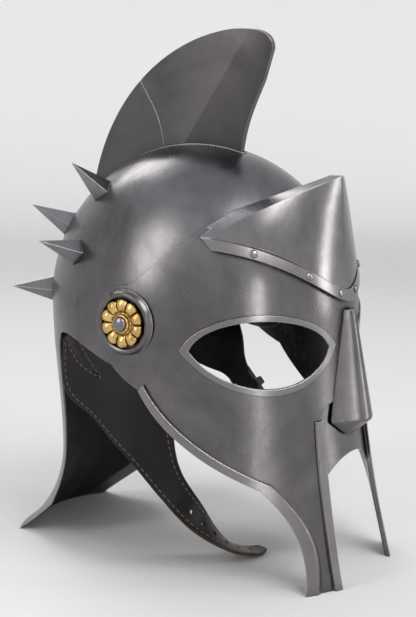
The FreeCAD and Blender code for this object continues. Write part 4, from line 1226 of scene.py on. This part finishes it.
stitched("short_strap_thread", short_side, lines + dart_lines(), 1)

keeper_wide = wide + KEEPER_GAP
low, high = -STRAP_T - KEEPER_GAP, 2 * STRAP_T + 2 * KEEPER_GAP


def keeper_block(grow, s1, s2):
    ring = [(-keeper_wide - grow, low - grow), (keeper_wide + grow, low - grow)]
    ring += [(keeper_wide + grow, high + grow), (-keeper_wide - grow, high + grow)]
    return loft([mirrored_if([at_buckle(s, u, n) for u, n in ring], 1) for s in (s1, s2)])


s1, s2 = KEEPER_AT - KEEPER_HALF, KEEPER_AT + KEEPER_HALF
keeper = cut(rounded(keeper_block(KEEPER_T, s1, s2), 1.2, 4), keeper_block(0, s1 - 5, s2 + 5))
rounded(keeper, 0.35, 2, 50)
finish(keeper, "keeper_loop", "skull", BLACK_LEATHER, ["strap_keeper"], 40)


# Stage, light and camera

CARRIED = {"pivot_nut_right": BLUED, "pivot_nut_left": BLUED, "buckle_frame": BUCKLE, "buckle_tongue": BUCKLE}
for name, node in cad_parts.items():
    if not node.hide_render:
        node.data.materials.clear()
        node.data.materials.append(CARRIED.get(name, STEEL_BRIGHT))
        tidy_normals(rounded(node, 0.35, 2, 32), 40)

# Metres: where the floor starts to curve, the curve's radius, the backdrop's top, and the distances
# between which the backdrop's own glow rises to its full strength.
FLAT, CURVE, WALL_TOP, GLOW_FROM, GLOW_TO, GLOW = 2.2, 1.0, 3.4, 1.3, 3.0, 0.36
floor_mat, tree, shader = nodes_of("floor")
away = add(tree, "VectorMath", {0: object_place(tree)}, operation="LENGTH").outputs["Value"]
inputs = {"Value": away, "From Min": GLOW_FROM, "From Max": GLOW_TO, "To Min": 0.0, "To Max": GLOW}
glow = add(tree, "MapRange", inputs, interpolation_type="SMOOTHSTEP").outputs["Result"]
path = add(tree, "LightPath")
seen = path.outputs["Is Camera Ray"]
for kind in ("Is Glossy Ray", "Is Transmission Ray"):
    seen = add(tree, "Math", {0: seen, 1: path.outputs[kind]}, operation="MAXIMUM").outputs[0]
inputs = {"Base Color": (0.64, 0.632, 0.62, 1), "Roughness": 0.7, "Emission Color": (0.98, 0.985, 1.0, 1)}
inputs["Emission Strength"] = times(tree, seen, glow)
feed(tree, shader, inputs)
profile = [(0.001, 0.0), (0.6, 0.0), (1.4, 0.0), (FLAT, 0.0)]
profile += arc(FLAT, CURVE, CURVE, -CURVE, np.linspace(0.1, math.pi / 2, 14))
profile.append((FLAT + CURVE, WALL_TOP))
rings = [[(r / MM * math.cos(t), r / MM * math.sin(t), z / MM) for t in circle(96)] for r, z in profile]
points, faces = bridge(rings)
floor = piece(points, faces[:-1], "floor")
floor.data.materials.append(floor_mat)
floor.data.polygons.foreach_set("use_smooth", [True] * len(floor.data.polygons))

world = bpy.data.worlds.new("studio")
bpy.context.scene.world = world
world.use_nodes = True
feed(world.node_tree, world.node_tree.nodes["Background"], {"Color": (0.9, 0.93, 1.0, 1), "Strength": 0.82})

# The place that the camera looks at, where it stands by azimuth, elevation and distance, and its lens.
MIDDLE, CAMERA_AT, LENS = (0.0, -0.0117, 0.1917), (-58, 10, 1.1), 80.8


def round_about(azimuth, elevation, distance):
    """A place in the direction that a camera at this azimuth and elevation stands."""
    a, e = math.radians(azimuth), math.radians(elevation)
    away = Vector((math.sin(a) * math.cos(e), -math.cos(a) * math.cos(e), math.sin(e)))
    return Vector(MIDDLE) + away * distance


def placed(name, data, place):
    """An object that looks at the helmet's middle."""
    obj = bpy.data.objects.new(name, data)
    obj.location = place
    obj.rotation_euler = (Vector(MIDDLE) - place).to_track_quat("-Z", "Y").to_euler()
    bpy.context.scene.collection.objects.link(obj)
    return obj


LAMPS = [  # name, azimuth, elevation, distance, size, power
    ("key", -20, 50, 1.7, (0.9, 0.9), 17.5),
    ("side", -115, 28, 1.8, (0.5, 1.2), 9.5),
    ("fill", 24, 14, 1.8, (0.28, 1.3), 8),
    ("rim", 150, 45, 1.7, (0.9, 0.7), 9),
    ("strip", -38, 3, 1.7, (0.1, 1.0), 3.5),
]
for name, azimuth, elevation, distance, size, power in LAMPS:
    lamp = bpy.data.lights.new(name, "AREA")
    lamp.shape = "RECTANGLE"
    lamp.size, lamp.size_y = size
    lamp.energy = power
    placed(name, lamp, round_about(azimuth, elevation, distance))

camera = bpy.data.cameras.new("camera")
camera.lens = LENS
bpy.context.scene.camera = placed("camera", camera, round_about(*CAMERA_AT))
bpy.context.scene.view_settings.view_transform = "Standard"
